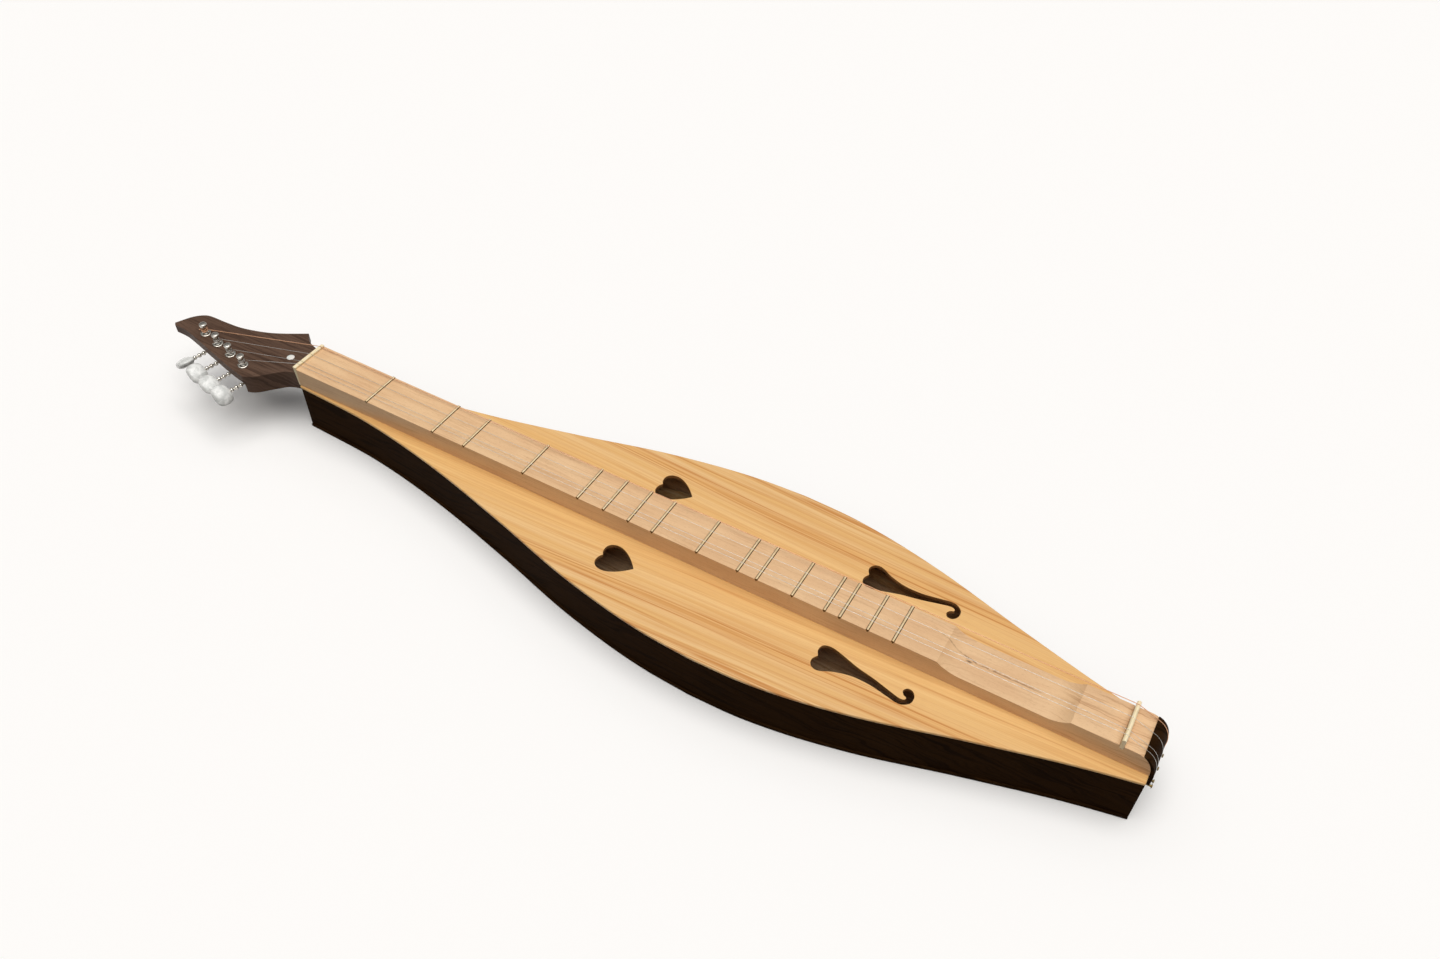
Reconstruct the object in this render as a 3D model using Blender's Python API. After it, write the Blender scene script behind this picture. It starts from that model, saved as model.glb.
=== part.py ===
"""A fretted mountain dulcimer with a teardrop body, four strings and open geared tuners.

Units are metres. +X runs from the peghead to the tail, +Y away from the player, +Z up. The origin is on the
centre line, on the underside of the back, midway between the nut and the nominal bridge line.
"""

import math

import bmesh
import bpy
import numpy as np
from mathutils import Matrix, Vector
from mathutils.geometry import interpolate_bezier

# Clearances
GAP = 0.0003
SLOT_GAP = 0.0001

# Strings
SCALE_LENGTH = 0.724
BRIDGE_COMPENSATION = 0.004
BASS_DIAMETER = 0.0006
PLAIN_DIAMETER = 0.0003
BASS_Y = 0.0145
MIDDLE_Y = 0.0028
MELODY_Y = -0.0084
MELODY_PAIR_SPACING = 0.0042
WINDING_TURNS = 3
WINDING_SPACE = 0.00045
POINTS_PER_TURN = 24

# Body
BRIDGE_TO_TAIL = 0.023
BODY_DEPTH = 0.048
HEAD_END_WIDTH = 0.0378
WIDEST_WIDTH = 0.1838
WIDEST_FROM_NUT = 0.440
TAIL_END_WIDTH = 0.050
EDGE_OVERHANG = 0.0012
SOUNDBOARD_THICKNESS = 0.0028
BACK_THICKNESS = 0.0030
SIDE_THICKNESS = 0.0025
LINING_WIDTH = 0.005
LINING_HEIGHT = 0.006
HEAD_BLOCK_LENGTH = 0.035
TAIL_BLOCK_LENGTH = 0.030
BRACE_WIDTH = 0.008
TOP_BRACE_HEIGHT = 0.009
BACK_BRACE_HEIGHT = 0.011
TOP_BRACES_FROM_NUT = {"head": 0.260, "tail": 0.450}
BACK_BRACES_FROM_NUT = {"head": 0.240, "tail": 0.480}

# Share of the way from the head end to the widest place, and share of the swelling reached there
FRONT_SWELL_SHARES = (
    (0, 0), (0.18, 0.058), (0.36, 0.232), (0.55, 0.505), (0.73, 0.791), (0.91, 0.970), (1, 1),
)
# The same from the widest place to the tail end
TAIL_SWELL_SHARES = (
    (0, 1), (0.13, 0.975), (0.26, 0.891), (0.39, 0.759), (0.64, 0.421), (0.90, 0.099), (1, 0),
)
OUTLINE_STEPS = 36

# Heart-shaped sound holes
HEART_FROM_NUT = 0.3315
HEART_FROM_CENTRE = 0.0435
HEART_LENGTH = 0.0301
HEART_WIDTH = 0.0268

# Scrolled sound holes: each starts as a heart and trails off into a hook towards the fretboard
SCROLL_FROM_NUT = 0.5181
SCROLL_FROM_CENTRE = 0.0434
# Distances along the body and away from the centre line, counted from the notch of the heart
SCROLL_OUTLINE = (
    (0.0000, 0.0000), (-0.0022, -0.0050), (-0.0004, -0.0102), (0.0059, -0.0117), (0.0149, -0.0096),
    (0.0294, -0.0052), (0.0429, -0.0025), (0.0560, 0.0010), (0.0645, 0.0031), (0.0682, 0.0026),
    (0.0690, 0.0006), (0.0664, -0.0008), (0.0647, -0.0038), (0.0667, -0.0070), (0.0708, -0.0068),
    (0.0738, -0.0028), (0.0735, 0.0030), (0.0691, 0.0070), (0.0638, 0.0077), (0.0559, 0.0062),
    (0.0426, 0.0038), (0.0287, 0.0037), (0.0159, 0.0069), (0.0069, 0.0112), (0.0015, 0.0114),
    (-0.0018, 0.0084), (-0.0024, 0.0042),
)

# Fretboard
FRETBOARD_WIDTH = 0.036
FRETBOARD_HEIGHT = 0.018
TAIL_ROUND_RUN = 0.0125
STRUM_HOLLOW_BEFORE_BRIDGE = 0.035
STRUM_HOLLOW_LENGTH = 0.097
STRUM_HOLLOW_DEPTH = 0.0063
STRUM_ENTRY_RUN = 0.019
STRUM_EXIT_RUN = 0.017
FRET_SEMITONES = (2, 4, 5, 7, 9, 10, 11, 12, 14, 16, 17, 19, 21, 22, 24, 26)
FRET_CROWN_WIDTH = 0.0026
FRET_CROWN_HEIGHT = 0.0010

# Nut and bridge
NUT_HEIGHT = 0.0018
NUT_TOP_THICKNESS = 0.0035
NUT_FOOT_THICKNESS = 0.0014
NUT_NOTCH_DEPTH = 0.0006
BRIDGE_THICKNESS = 0.0030
BRIDGE_HEIGHT = 0.0068
BRIDGE_SLOT_DEPTH = 0.0030

# Tail cap and hitch pins
CAP_THICKNESS = 0.0027
CAP_ROUND_RUN = 0.013
CAP_ROUND_DROP = 0.020
CAP_LIP_FROM_END = 0.008
CAP_SKIRT = 0.008
HITCH_PIN_RADIUS = 0.0008
HITCH_PIN_BELOW_CAP = 0.005
HITCH_PIN_DEPTH = 0.008
HITCH_PIN_REACH = 0.0055
HITCH_HEAD_RADIUS = 0.0015
HITCH_HEAD_THICKNESS = 0.0008

# Peghead
HEAD_DROP = 0.007
HEAD_THICKNESS = 0.018
HEAD_THIN_THICKNESS = 0.008
RECESS_COVE_RADIUS = 0.003
# Distances towards the tip from the nut's inner face, and away from the player
HEAD_FAR_NECK = ((-0.0140, 0.0183), (-0.0240, 0.0222), (-0.0319, 0.0297))
HEAD_FAR_EDGE = ((-0.0319, 0.0297), (-0.0504, 0.0185), (-0.0662, 0.0110), (-0.0880, 0.0048), (-0.1060, 0.0031),
                 (-0.1250, 0.0023), (-0.1326, -0.0010), (-0.1390, -0.0080), (-0.1453, -0.0209))
HEAD_NEAR_EDGE = ((-0.1428, -0.0232), (-0.1290, -0.0235), (-0.1130, -0.0269), (-0.0890, -0.0328),
                  (-0.0612, -0.0395), (-0.0440, -0.0427), (-0.0385, -0.0426), (-0.0314, -0.0387),
                  (-0.0227, -0.0292), (-0.0150, -0.0210), (-0.0100, -0.0180))
HEAD_NECK_FAR_Y = 0.0168
HEAD_NECK_NEAR_Y = -0.0160
PEARL_FROM_NUT = -0.0226
PEARL_Y = -0.0028
PEARL_RADIUS = 0.0034
PEARL_THICKNESS = 0.0015

# Tuners: four in a slanting line, numbered from the tip of the head
TUNER_COUNT = 4
TUNER_PITCH = 0.0205
TUNER_LINE_DEGREES = -13.4
FIRST_POST_FROM_NUT = -0.1098
FIRST_POST_Y = -0.0178
POST_RADIUS = 0.0026
POST_COLLAR_RADIUS = 0.0031
POST_COLLAR_THICKNESS = 0.0005
POST_WAIST_RADIUS = 0.0020
POST_WAIST_FLARE = 0.0006
POST_WAIST_TOP = 0.0080
POST_CAP_RADIUS = 0.0032
POST_HEIGHT = 0.0115
POST_HOLE_HEIGHT = 0.0072
BUSHING_FLANGE_RADIUS = 0.0047
BUSHING_FLANGE_THICKNESS = 0.0009
BUSHING_SLEEVE_RADIUS = 0.0040
BUSHING_SLEEVE_DEPTH = 0.0045
PLATE_THICKNESS = 0.0010
PLATE_WIDTH = 0.016
PLATE_BEFORE_FIRST_POST = 0.010
PLATE_AFTER_LAST_POST = 0.0092
PLATE_SCREW_AFTER_POST = 0.0122
PLATE_SCREW_BEFORE_FIRST_POST = 0.0070
SCREW_HEAD_RADIUS = 0.0018
SCREW_HEAD_THICKNESS = 0.0010
SCREW_CROWN_SHARE = 0.65
SCREW_SHANK_RADIUS = 0.0009
SCREW_SHANK_DEPTH = 0.0050
EAR_THICKNESS = 0.0010
EAR_HALF_WIDTH = 0.0025

# Worm and gear: one start on the worm, so one turn of a key moves the gear by one tooth
GEAR_TEETH = 14
GEAR_RADIUS = 0.0040
GEAR_THICKNESS = 0.0020
TOOTH_HALF_HEIGHT = 0.0004
GEAR_BELOW_PLATE = 0.0027
WORM_RADIUS = 0.0017
TOOTH_CLEARANCE = 0.0005
WORM_TURNS = 3
SPIGOT_HALF_WIDTH = 0.0017
GEAR_SCREW_BORE_DEPTH = 0.0060

# Key shafts and buttons
SHAFT_RADIUS = 0.00125
SHAFT_COLLAR_RADIUS = 0.0019
SHAFT_COLLAR_THICKNESS = 0.0008
BEAD_COUNT = 3
BEAD_RADIUS = 0.0020
BEAD_PITCH = 0.0044
FIRST_BEAD_FROM_POST = 0.0100
BUTTON_FROM_POST = 0.0208
BUTTON_LENGTH = 0.0149
BUTTON_WIDTH = 0.0196
BUTTON_THICKNESS = 0.0086
BUTTON_BORE_DEPTH = 0.0080
BUTTON_TILT_DEGREES = (34, -30, -19, -34)

# Facets on round shapes
HOLE_SIDES = 12
SMALL_HOLE_SIDES = 8
POST_SIDES = 16
BUSHING_SIDES = 14
SHAFT_SIDES = 8
BUTTON_SIDES = 14
BUTTON_LEVELS = 8
PEARL_SIDES = 24
SCREW_SIDES = 8
PIN_SIDES = 10
POINTS_PER_TOOTH = 6
RINGS_PER_THREAD = 6
FRET_STEPS = 4
HOLLOW_STEPS = 6
CAP_STEPS = 10
COVE_STEPS = 5
EAR_STEPS = 5
LOOP_STEPS = 6
BEAD_STEPS = 4
CROWN_STEPS = 8
HEART_STEPS = 6

# Places worked out from the sizes above
BODY_LENGTH = SCALE_LENGTH + BRIDGE_COMPENSATION + BRIDGE_TO_TAIL
NUT_X = -SCALE_LENGTH / 2
TAIL_X = NUT_X + BODY_LENGTH
BRIDGE_X = NUT_X + SCALE_LENGTH + BRIDGE_COMPENSATION
SOUNDBOARD_TOP = BODY_DEPTH
SOUNDBOARD_UNDER = SOUNDBOARD_TOP - SOUNDBOARD_THICKNESS
FRETBOARD_TOP = SOUNDBOARD_TOP + FRETBOARD_HEIGHT
INSIDE_LOW = BACK_THICKNESS + GAP
INSIDE_HIGH = SOUNDBOARD_UNDER - GAP
SIDE_INSET = EDGE_OVERHANG + SIDE_THICKNESS
HEAD_TOP = FRETBOARD_TOP - HEAD_DROP
HEAD_UNDER = HEAD_TOP - HEAD_THICKNESS
PLATE_LOW = -HEAD_THIN_THICKNESS - GAP - PLATE_THICKNESS
WORM_AXIS_Z = PLATE_LOW - GEAR_BELOW_PLATE - GEAR_THICKNESS / 2
WORM_OFFSET = GEAR_RADIUS + WORM_RADIUS + TOOTH_CLEARANCE
WORM_PITCH = 2 * math.pi * GEAR_RADIUS / GEAR_TEETH
WORM_HALF_LENGTH = WORM_PITCH * WORM_TURNS / 2
EAR_INNER = WORM_HALF_LENGTH + SHAFT_COLLAR_THICKNESS + 2 * GAP
EAR_OUTER = EAR_INNER + EAR_THICKNESS
BORE_RADIUS = SHAFT_RADIUS + GAP
PLATE_END = (TUNER_COUNT - 1) * TUNER_PITCH + PLATE_AFTER_LAST_POST
STRING_DIAMETERS = (BASS_DIAMETER, PLAIN_DIAMETER, PLAIN_DIAMETER, PLAIN_DIAMETER)
STRING_YS = (BASS_Y, MIDDLE_Y, MELODY_Y, MELODY_Y - MELODY_PAIR_SPACING)
STRING_NAMES = ("bass", "middle", "melody_outer", "melody_inner")

# Colour, roughness and metallic value of each material
COLOURS = {
    "softwood": ((0.72, 0.46, 0.17), 0.45, 0.0),
    "walnut": ((0.085, 0.045, 0.028), 0.50, 0.0),
    "beech": ((0.60, 0.38, 0.24), 0.55, 0.0),
    "spruce": ((0.70, 0.55, 0.33), 0.70, 0.0),
    "bone": ((0.82, 0.74, 0.52), 0.35, 0.0),
    "nickel": ((0.75, 0.73, 0.70), 0.20, 1.0),
    "brass": ((0.62, 0.50, 0.28), 0.30, 1.0),
    "steel": ((0.60, 0.60, 0.60), 0.25, 1.0),
    "copper": ((0.72, 0.40, 0.22), 0.30, 1.0),
    "pearl": ((0.80, 0.81, 0.78), 0.20, 0.0),
}

for old in list(bpy.data.objects):
    bpy.data.objects.remove(old, do_unlink=True)


def material_for(node, kind):
    """Makes the node's own material of the given kind."""
    colour, roughness, metallic = COLOURS[kind]
    material = bpy.data.materials.new(node)
    material.use_nodes = True
    shader = material.node_tree.nodes["Principled BSDF"]
    shader.inputs["Base Color"].default_value = (*colour, 1.0)
    shader.inputs["Roughness"].default_value = roughness
    shader.inputs["Metallic"].default_value = metallic
    return material


def place(name, data, kind, parent=None, location=(0, 0, 0), rotation=(0, 0, 0)):
    """Links one named piece, with its own material, at its place under its parent."""
    piece = bpy.data.objects.new(name, data)
    bpy.context.collection.objects.link(piece)
    piece.parent = parent
    piece.location = location
    piece.rotation_euler = rotation
    # Pieces that share a mesh keep their own materials on the object's slot
    if not data.materials:
        data.materials.append(None)
    piece.material_slots[0].link = "OBJECT"
    piece.material_slots[0].material = material_for(name, kind)
    return piece


def finish(form, smooth_degrees=None):
    """Turns a bmesh into a mesh with its faces pointing out."""
    bmesh.ops.recalc_face_normals(form, faces=form.faces)
    mesh = bpy.data.meshes.new("piece")
    form.to_mesh(mesh)
    form.free()
    if smooth_degrees:
        mesh.shade_smooth()
        mesh.set_sharp_from_angle(angle=math.radians(smooth_degrees))
    return mesh


def prism(outline, low, high, along="Z", smooth_degrees=None):
    """Extrudes a flat outline: (x, y) along Z, (x, z) along Y, or (y, z) along X."""
    place_point = {
        "Z": lambda a, b, c: (a, b, c),
        "Y": lambda a, b, c: (a, c, b),
        "X": lambda a, b, c: (c, a, b),
    }[along]
    form = bmesh.new()
    lower = [form.verts.new(place_point(a, b, low)) for a, b in outline]
    upper = [form.verts.new(place_point(a, b, high)) for a, b in outline]
    form.faces.new(lower)
    form.faces.new(upper)
    for i in range(len(outline)):
        j = (i + 1) % len(outline)
        form.faces.new((lower[i], lower[j], upper[j], upper[i]))
    return finish(form, smooth_degrees)


def box(low, high):
    """Makes a box between two opposite corners."""
    return prism(((low[0], low[1]), (high[0], low[1]), (high[0], high[1]), (low[0], high[1])), low[2], high[2])


def loft(rings, closed_ends=True, joined=False, smooth_degrees=None):
    """Joins rings of points, all of one length, into a skin; joined makes it run round to its first ring."""
    form = bmesh.new()
    rows = [[form.verts.new(point) for point in ring] for ring in rings]
    pairs = list(zip(rows, rows[1:]))
    if joined:
        pairs.append((rows[-1], rows[0]))
    for first, second in pairs:
        for i in range(len(first)):
            j = (i + 1) % len(first)
            form.faces.new((first[i], first[j], second[j], second[i]))
    if closed_ends and not joined:
        form.faces.new(rows[0])
        form.faces.new(rows[-1])
    return finish(form, smooth_degrees)


def turned(profile, sides, hollow=False, smooth_degrees=35):
    """Turns a profile of (radius, height) about Z; a hollow profile is a closed ring section."""
    rings = []
    for radius, height in profile:
        ring = []
        for i in range(sides):
            angle = 2 * math.pi * i / sides
            ring.append((radius * math.cos(angle), radius * math.sin(angle), height))
        rings.append(ring)
    return loft(rings, joined=hollow, smooth_degrees=smooth_degrees)


def moved(mesh, matrix):
    """Moves a mesh's points and returns it."""
    mesh.transform(matrix)
    return mesh


def joined(meshes):
    """Puts several meshes into one, as separate shells."""
    form = bmesh.new()
    for mesh in meshes:
        form.from_mesh(mesh)
    return finish(form)


def boolean(mesh, tool, operation="DIFFERENCE", smooth_degrees=None):
    """Cuts a mesh by a tool mesh, joins them, or keeps what they share."""
    target = bpy.data.objects.new("target", mesh)
    cutter = bpy.data.objects.new("cutter", tool)
    for item in (target, cutter):
        bpy.context.collection.objects.link(item)
    modifier = target.modifiers.new("shape", "BOOLEAN")
    modifier.operation = operation
    modifier.solver = "EXACT"
    modifier.object = cutter
    view = bpy.context.evaluated_depsgraph_get()
    result = bpy.data.meshes.new_from_object(target.evaluated_get(view))
    bpy.data.objects.remove(target)
    bpy.data.objects.remove(cutter)
    if smooth_degrees:
        result.shade_smooth()
        result.set_sharp_from_angle(angle=math.radians(smooth_degrees))
    return result


def tube(name, points, diameter, sides_level, kind, parent=None, location=(0, 0, 0)):
    """Makes a round cord along a list of points."""
    data = bpy.data.curves.new(name, "CURVE")
    data.dimensions = "3D"
    data.bevel_depth = diameter / 2
    data.bevel_resolution = sides_level
    data.use_fill_caps = True
    spline = data.splines.new("POLY")
    spline.points.add(len(points) - 1)
    for target, point in zip(spline.points, points):
        target.co = (*point, 1)
    return place(name, data, kind, parent, location)


def smooth_run(points, steps, closed=False):
    """Runs a Catmull-Rom curve through the points, with the given steps between each two."""
    points = [np.array(point, float) for point in points]
    count = len(points)
    spans = count if closed else count - 1
    run = []
    for i in range(spans):
        if closed:
            before, first, second, after = (points[(i + k) % count] for k in (-1, 0, 1, 2))
        else:
            before, first, second, after = (points[min(max(i + k, 0), count - 1)] for k in (-1, 0, 1, 2))
        for k in range(steps):
            t = k / steps
            slope_first = (second - before) / 2
            slope_second = (after - first) / 2
            point = (
                (2 * t**3 - 3 * t**2 + 1) * first
                + (t**3 - 2 * t**2 + t) * slope_first
                + (3 * t**2 - 2 * t**3) * second
                + (t**3 - t**2) * slope_second
            )
            run.append(tuple(point))
    if not closed:
        run.append(tuple(points[-1]))
    return run


def arc(centre, radius_a, radius_b, start_degrees, end_degrees, steps):
    """Points on a flat ellipse from one angle to another, both ends included."""
    angles = [math.radians(start_degrees + (end_degrees - start_degrees) * i / steps) for i in range(steps + 1)]
    return [(centre[0] + radius_a * math.cos(a), centre[1] + radius_b * math.sin(a)) for a in angles]


def swelling(shares, along):
    """Reads a swelling curve at a share of its way, smoothly between its points."""
    way = np.array([point[0] for point in shares], float)
    height = np.array([point[1] for point in shares], float)
    slope = np.gradient(height, way)
    i = int(np.clip(np.searchsorted(way, along) - 1, 0, len(way) - 2))
    span = way[i + 1] - way[i]
    t = (along - way[i]) / span
    return (
        (2 * t**3 - 3 * t**2 + 1) * height[i]
        + (t**3 - 2 * t**2 + t) * span * slope[i]
        + (3 * t**2 - 2 * t**3) * height[i + 1]
        + (t**3 - t**2) * span * slope[i + 1]
    )


def half_width(x):
    """Half the soundboard's width at a place along the body."""
    along = x - NUT_X
    if along <= WIDEST_FROM_NUT:
        share = swelling(FRONT_SWELL_SHARES, along / WIDEST_FROM_NUT)
        end_width = HEAD_END_WIDTH
    else:
        share = swelling(TAIL_SWELL_SHARES, (along - WIDEST_FROM_NUT) / (BODY_LENGTH - WIDEST_FROM_NUT))
        end_width = TAIL_END_WIDTH
    return (end_width + (WIDEST_WIDTH - end_width) * share) / 2


STATIONS = np.linspace(NUT_X, TAIL_X, OUTLINE_STEPS + 1)
STATION_HALF_WIDTHS = np.array([half_width(x) for x in STATIONS])
STATION_SLOPES = np.gradient(STATION_HALF_WIDTHS, STATIONS)


def edge_y(x, inset):
    """Distance from the centre line to the outline drawn in by an inset, straight between the stations."""
    return float(np.interp(x, STATIONS, STATION_HALF_WIDTHS - inset * np.hypot(1, STATION_SLOPES)))


def stations_between(start, end):
    """The outline's stations inside a stretch, with the stretch's own ends."""
    return [start] + [x for x in STATIONS if start + GAP < x < end - GAP] + [end]


def edge_run(start, end, inset, side):
    """Points along one edge of the body, drawn in by an inset; side is 1 for far and -1 for near."""
    return [(x, side * edge_y(x, inset)) for x in stations_between(start, end)]


def edge_strip(start, end, inset, width, low, high, side):
    """A strip of one width that follows the body's edge."""
    rings = []
    for x in stations_between(start, end):
        outer = side * edge_y(x, inset)
        inner = side * edge_y(x, inset + width)
        rings.append(((x, outer, low), (x, outer, high), (x, inner, high), (x, inner, low)))
    return loft(rings, smooth_degrees=30)


def make_back():
    near = edge_run(NUT_X, TAIL_X, 0, -1)
    far = edge_run(NUT_X, TAIL_X, 0, 1)
    place("back_board", prism(near + far[::-1], 0, BACK_THICKNESS, smooth_degrees=30), "walnut")


def make_sides():
    for name, side in (("near", -1), ("far", 1)):
        low, high = INSIDE_LOW, INSIDE_HIGH
        wall = edge_strip(NUT_X, TAIL_X, EDGE_OVERHANG, SIDE_THICKNESS, low, high, side)
        place(f"side_{name}", wall, "walnut")


def make_linings():
    start = NUT_X + HEAD_BLOCK_LENGTH + GAP
    end = TAIL_X - TAIL_BLOCK_LENGTH - GAP
    levels = {"top": INSIDE_HIGH - LINING_HEIGHT, "back": INSIDE_LOW}
    for side_name, side in (("near", -1), ("far", 1)):
        for level_name, low in levels.items():
            strip = edge_strip(start, end, SIDE_INSET + GAP, LINING_WIDTH, low, low + LINING_HEIGHT, side)
            place(f"lining_{level_name}_{side_name}", strip, "spruce")


def make_braces():
    inset = SIDE_INSET + GAP + LINING_WIDTH + GAP
    rows = (
        ("top", TOP_BRACES_FROM_NUT, INSIDE_HIGH - TOP_BRACE_HEIGHT, INSIDE_HIGH),
        ("back", BACK_BRACES_FROM_NUT, INSIDE_LOW, INSIDE_LOW + BACK_BRACE_HEIGHT),
    )
    for board, places, low, high in rows:
        for name, from_nut in places.items():
            start = NUT_X + from_nut - BRACE_WIDTH / 2
            end = NUT_X + from_nut + BRACE_WIDTH / 2
            near = edge_run(start, end, inset, -1)
            far = edge_run(start, end, inset, 1)
            place(f"brace_{board}_{name}", prism(near + far[::-1], low, high), "spruce")


def heart_outline():
    """A heart's outline, its notch towards the head and its tip towards the tail, about its own middle line."""
    half = HEART_WIDTH / 2
    length = HEART_LENGTH
    spans = (
        ((0.08 * length, 0), (0.03 * length, 0.09 * half), (0, 0.25 * half), (0, 0.46 * half)),
        ((0, 0.46 * half), (0, 0.78 * half), (0.12 * length, half), (0.29 * length, half)),
        ((0.29 * length, half), (0.54 * length, half), (0.83 * length, 0.45 * half), (length, 0)),
    )
    upper = []
    for span in spans:
        corners = [Vector((*corner, 0)) for corner in span]
        upper += [(point.x, point.y) for point in interpolate_bezier(*corners, HEART_STEPS + 1)[:-1]]
    tip = (length, 0)
    lower = [(x, -y) for x, y in upper[1:][::-1]]
    return upper + [tip] + lower


def scroll_outline():
    """The scrolled hole's outline, smooth but for the notch of its heart."""
    return smooth_run(SCROLL_OUTLINE + SCROLL_OUTLINE[:1], 2)[:-1]


def make_soundboard():
    seam = GAP / 2
    for name, side in (("near", -1), ("far", 1)):
        centre = [(TAIL_X, side * seam), (NUT_X, side * seam)]
        board = prism(edge_run(NUT_X, TAIL_X, 0, side) + centre, SOUNDBOARD_UNDER, SOUNDBOARD_TOP)
        heart = [(NUT_X + HEART_FROM_NUT + x, side * (HEART_FROM_CENTRE + y)) for x, y in heart_outline()]
        scroll = [(NUT_X + SCROLL_FROM_NUT + x, side * (SCROLL_FROM_CENTRE + y)) for x, y in scroll_outline()]
        past = SOUNDBOARD_THICKNESS
        holes = [prism(hole, SOUNDBOARD_UNDER - past, SOUNDBOARD_TOP + past) for hole in (heart, scroll)]
        place(f"soundboard_{name}", boolean(board, joined(holes), smooth_degrees=30), "softwood")


def fret_x(semitones):
    """Where a fret stands, from the equal-tempered scale."""
    return NUT_X + SCALE_LENGTH * (1 - 2 ** (-semitones / 12))


def hollow_arc(edge_x, floor_x):
    """A sanded cove from a sharp edge down to where it runs level into the hollow's floor."""
    depth = STRUM_HOLLOW_DEPTH
    run = abs(floor_x - edge_x)
    radius = (run**2 + depth**2) / (2 * depth)
    points = []
    for i in range(HOLLOW_STEPS + 1):
        share = i / HOLLOW_STEPS
        x = edge_x + (floor_x - edge_x) * share
        away = run * (1 - share)
        points.append((x, FRETBOARD_TOP - depth + radius - math.sqrt(radius**2 - away**2)))
    return points


def make_fretboard():
    """The fretboard with its frets pressed in, their crowns standing on its top, ends flush with its sides."""
    top = FRETBOARD_TOP
    low = SOUNDBOARD_TOP + GAP
    outline = [(NUT_X + GAP, low), (NUT_X + GAP, top)]
    for semitones in FRET_SEMITONES:
        outline += arc((fret_x(semitones), top), FRET_CROWN_WIDTH / 2, FRET_CROWN_HEIGHT, 180, 0, FRET_STEPS)
    hollow_end = BRIDGE_X - STRUM_HOLLOW_BEFORE_BRIDGE
    hollow_start = hollow_end - STRUM_HOLLOW_LENGTH
    outline += hollow_arc(hollow_start, hollow_start + STRUM_ENTRY_RUN)
    outline += hollow_arc(hollow_end, hollow_end - STRUM_EXIT_RUN)[::-1]
    seat = BRIDGE_THICKNESS / 2 + SLOT_GAP
    seat_low = top - BRIDGE_SLOT_DEPTH - SLOT_GAP
    outline += [(BRIDGE_X - seat, top), (BRIDGE_X - seat, seat_low)]
    outline += [(BRIDGE_X + seat, seat_low), (BRIDGE_X + seat, top)]
    outline += arc((TAIL_X - TAIL_ROUND_RUN, low), TAIL_ROUND_RUN, top - low, 90, 0, CAP_STEPS)
    half = FRETBOARD_WIDTH / 2
    place("fretboard", prism(outline, -half, half, "Y", smooth_degrees=20), "beech")


def make_nut():
    half = FRETBOARD_WIDTH / 2
    foot = SOUNDBOARD_TOP + GAP
    top = FRETBOARD_TOP + NUT_HEIGHT
    outer = NUT_X - NUT_TOP_THICKNESS
    outline = ((NUT_X, foot), (NUT_X, top), (outer, top), (NUT_X - NUT_FOOT_THICKNESS, foot))
    notches = []
    for y, diameter in zip(STRING_YS, STRING_DIAMETERS):
        reach = diameter / 2 + GAP
        low = (outer - NUT_TOP_THICKNESS, y - reach, top - NUT_NOTCH_DEPTH)
        high = (NUT_X + NUT_TOP_THICKNESS, y + reach, top + NUT_NOTCH_DEPTH)
        notches.append(box(low, high))
    place("nut", boolean(prism(outline, -half, half, "Y"), joined(notches)), "bone")


def make_bridge():
    half = FRETBOARD_WIDTH / 2
    radius = BRIDGE_THICKNESS / 2
    low = FRETBOARD_TOP - BRIDGE_SLOT_DEPTH
    crown = arc((BRIDGE_X, FRETBOARD_TOP + BRIDGE_HEIGHT - radius), radius, radius, 0, 180, CROWN_STEPS)
    outline = [(BRIDGE_X + radius, low)] + crown + [(BRIDGE_X - radius, low)]
    place("bridge", prism(outline, -half, half, "Y", smooth_degrees=30), "bone")


def cap_outer(from_degrees, to_degrees, offset):
    """Points down the tail cap's outer curve, held off it by an offset."""
    face = TAIL_X + GAP + CAP_THICKNESS
    centre = (face - CAP_ROUND_RUN, FRETBOARD_TOP - CAP_ROUND_DROP)
    return arc(centre, CAP_ROUND_RUN + offset, CAP_ROUND_DROP + offset, from_degrees, to_degrees, CAP_STEPS)


def make_tail_cap():
    fretboard_low = SOUNDBOARD_TOP + GAP
    inner_run = TAIL_ROUND_RUN + GAP
    inner_centre = (TAIL_X - TAIL_ROUND_RUN, fretboard_low)
    lip = TAIL_X - CAP_LIP_FROM_END
    face = TAIL_X + GAP + CAP_THICKNESS
    outer_start = math.degrees(math.acos((lip - face + CAP_ROUND_RUN) / CAP_ROUND_RUN))
    inner_start = math.degrees(math.acos((lip - inner_centre[0]) / inner_run))
    bottom = FRETBOARD_TOP - CAP_ROUND_DROP - CAP_SKIRT
    outline = cap_outer(outer_start, 0, 0) + [(face, bottom), (TAIL_X + GAP, bottom)]
    outline += arc(inner_centre, inner_run, FRETBOARD_HEIGHT, 0, inner_start, CAP_STEPS)
    half = FRETBOARD_WIDTH / 2
    place("tail_cap", prism(outline, -half, half, "Y", smooth_degrees=20), "walnut")


def hitch_pin_centre(index):
    """Where a string's hitch pin stands on the tail face: the string passes on its far side."""
    loop = HITCH_PIN_RADIUS + GAP + STRING_DIAMETERS[index] / 2
    return STRING_YS[index] - loop, FRETBOARD_TOP - CAP_ROUND_DROP - CAP_SKIRT - HITCH_PIN_BELOW_CAP


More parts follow.
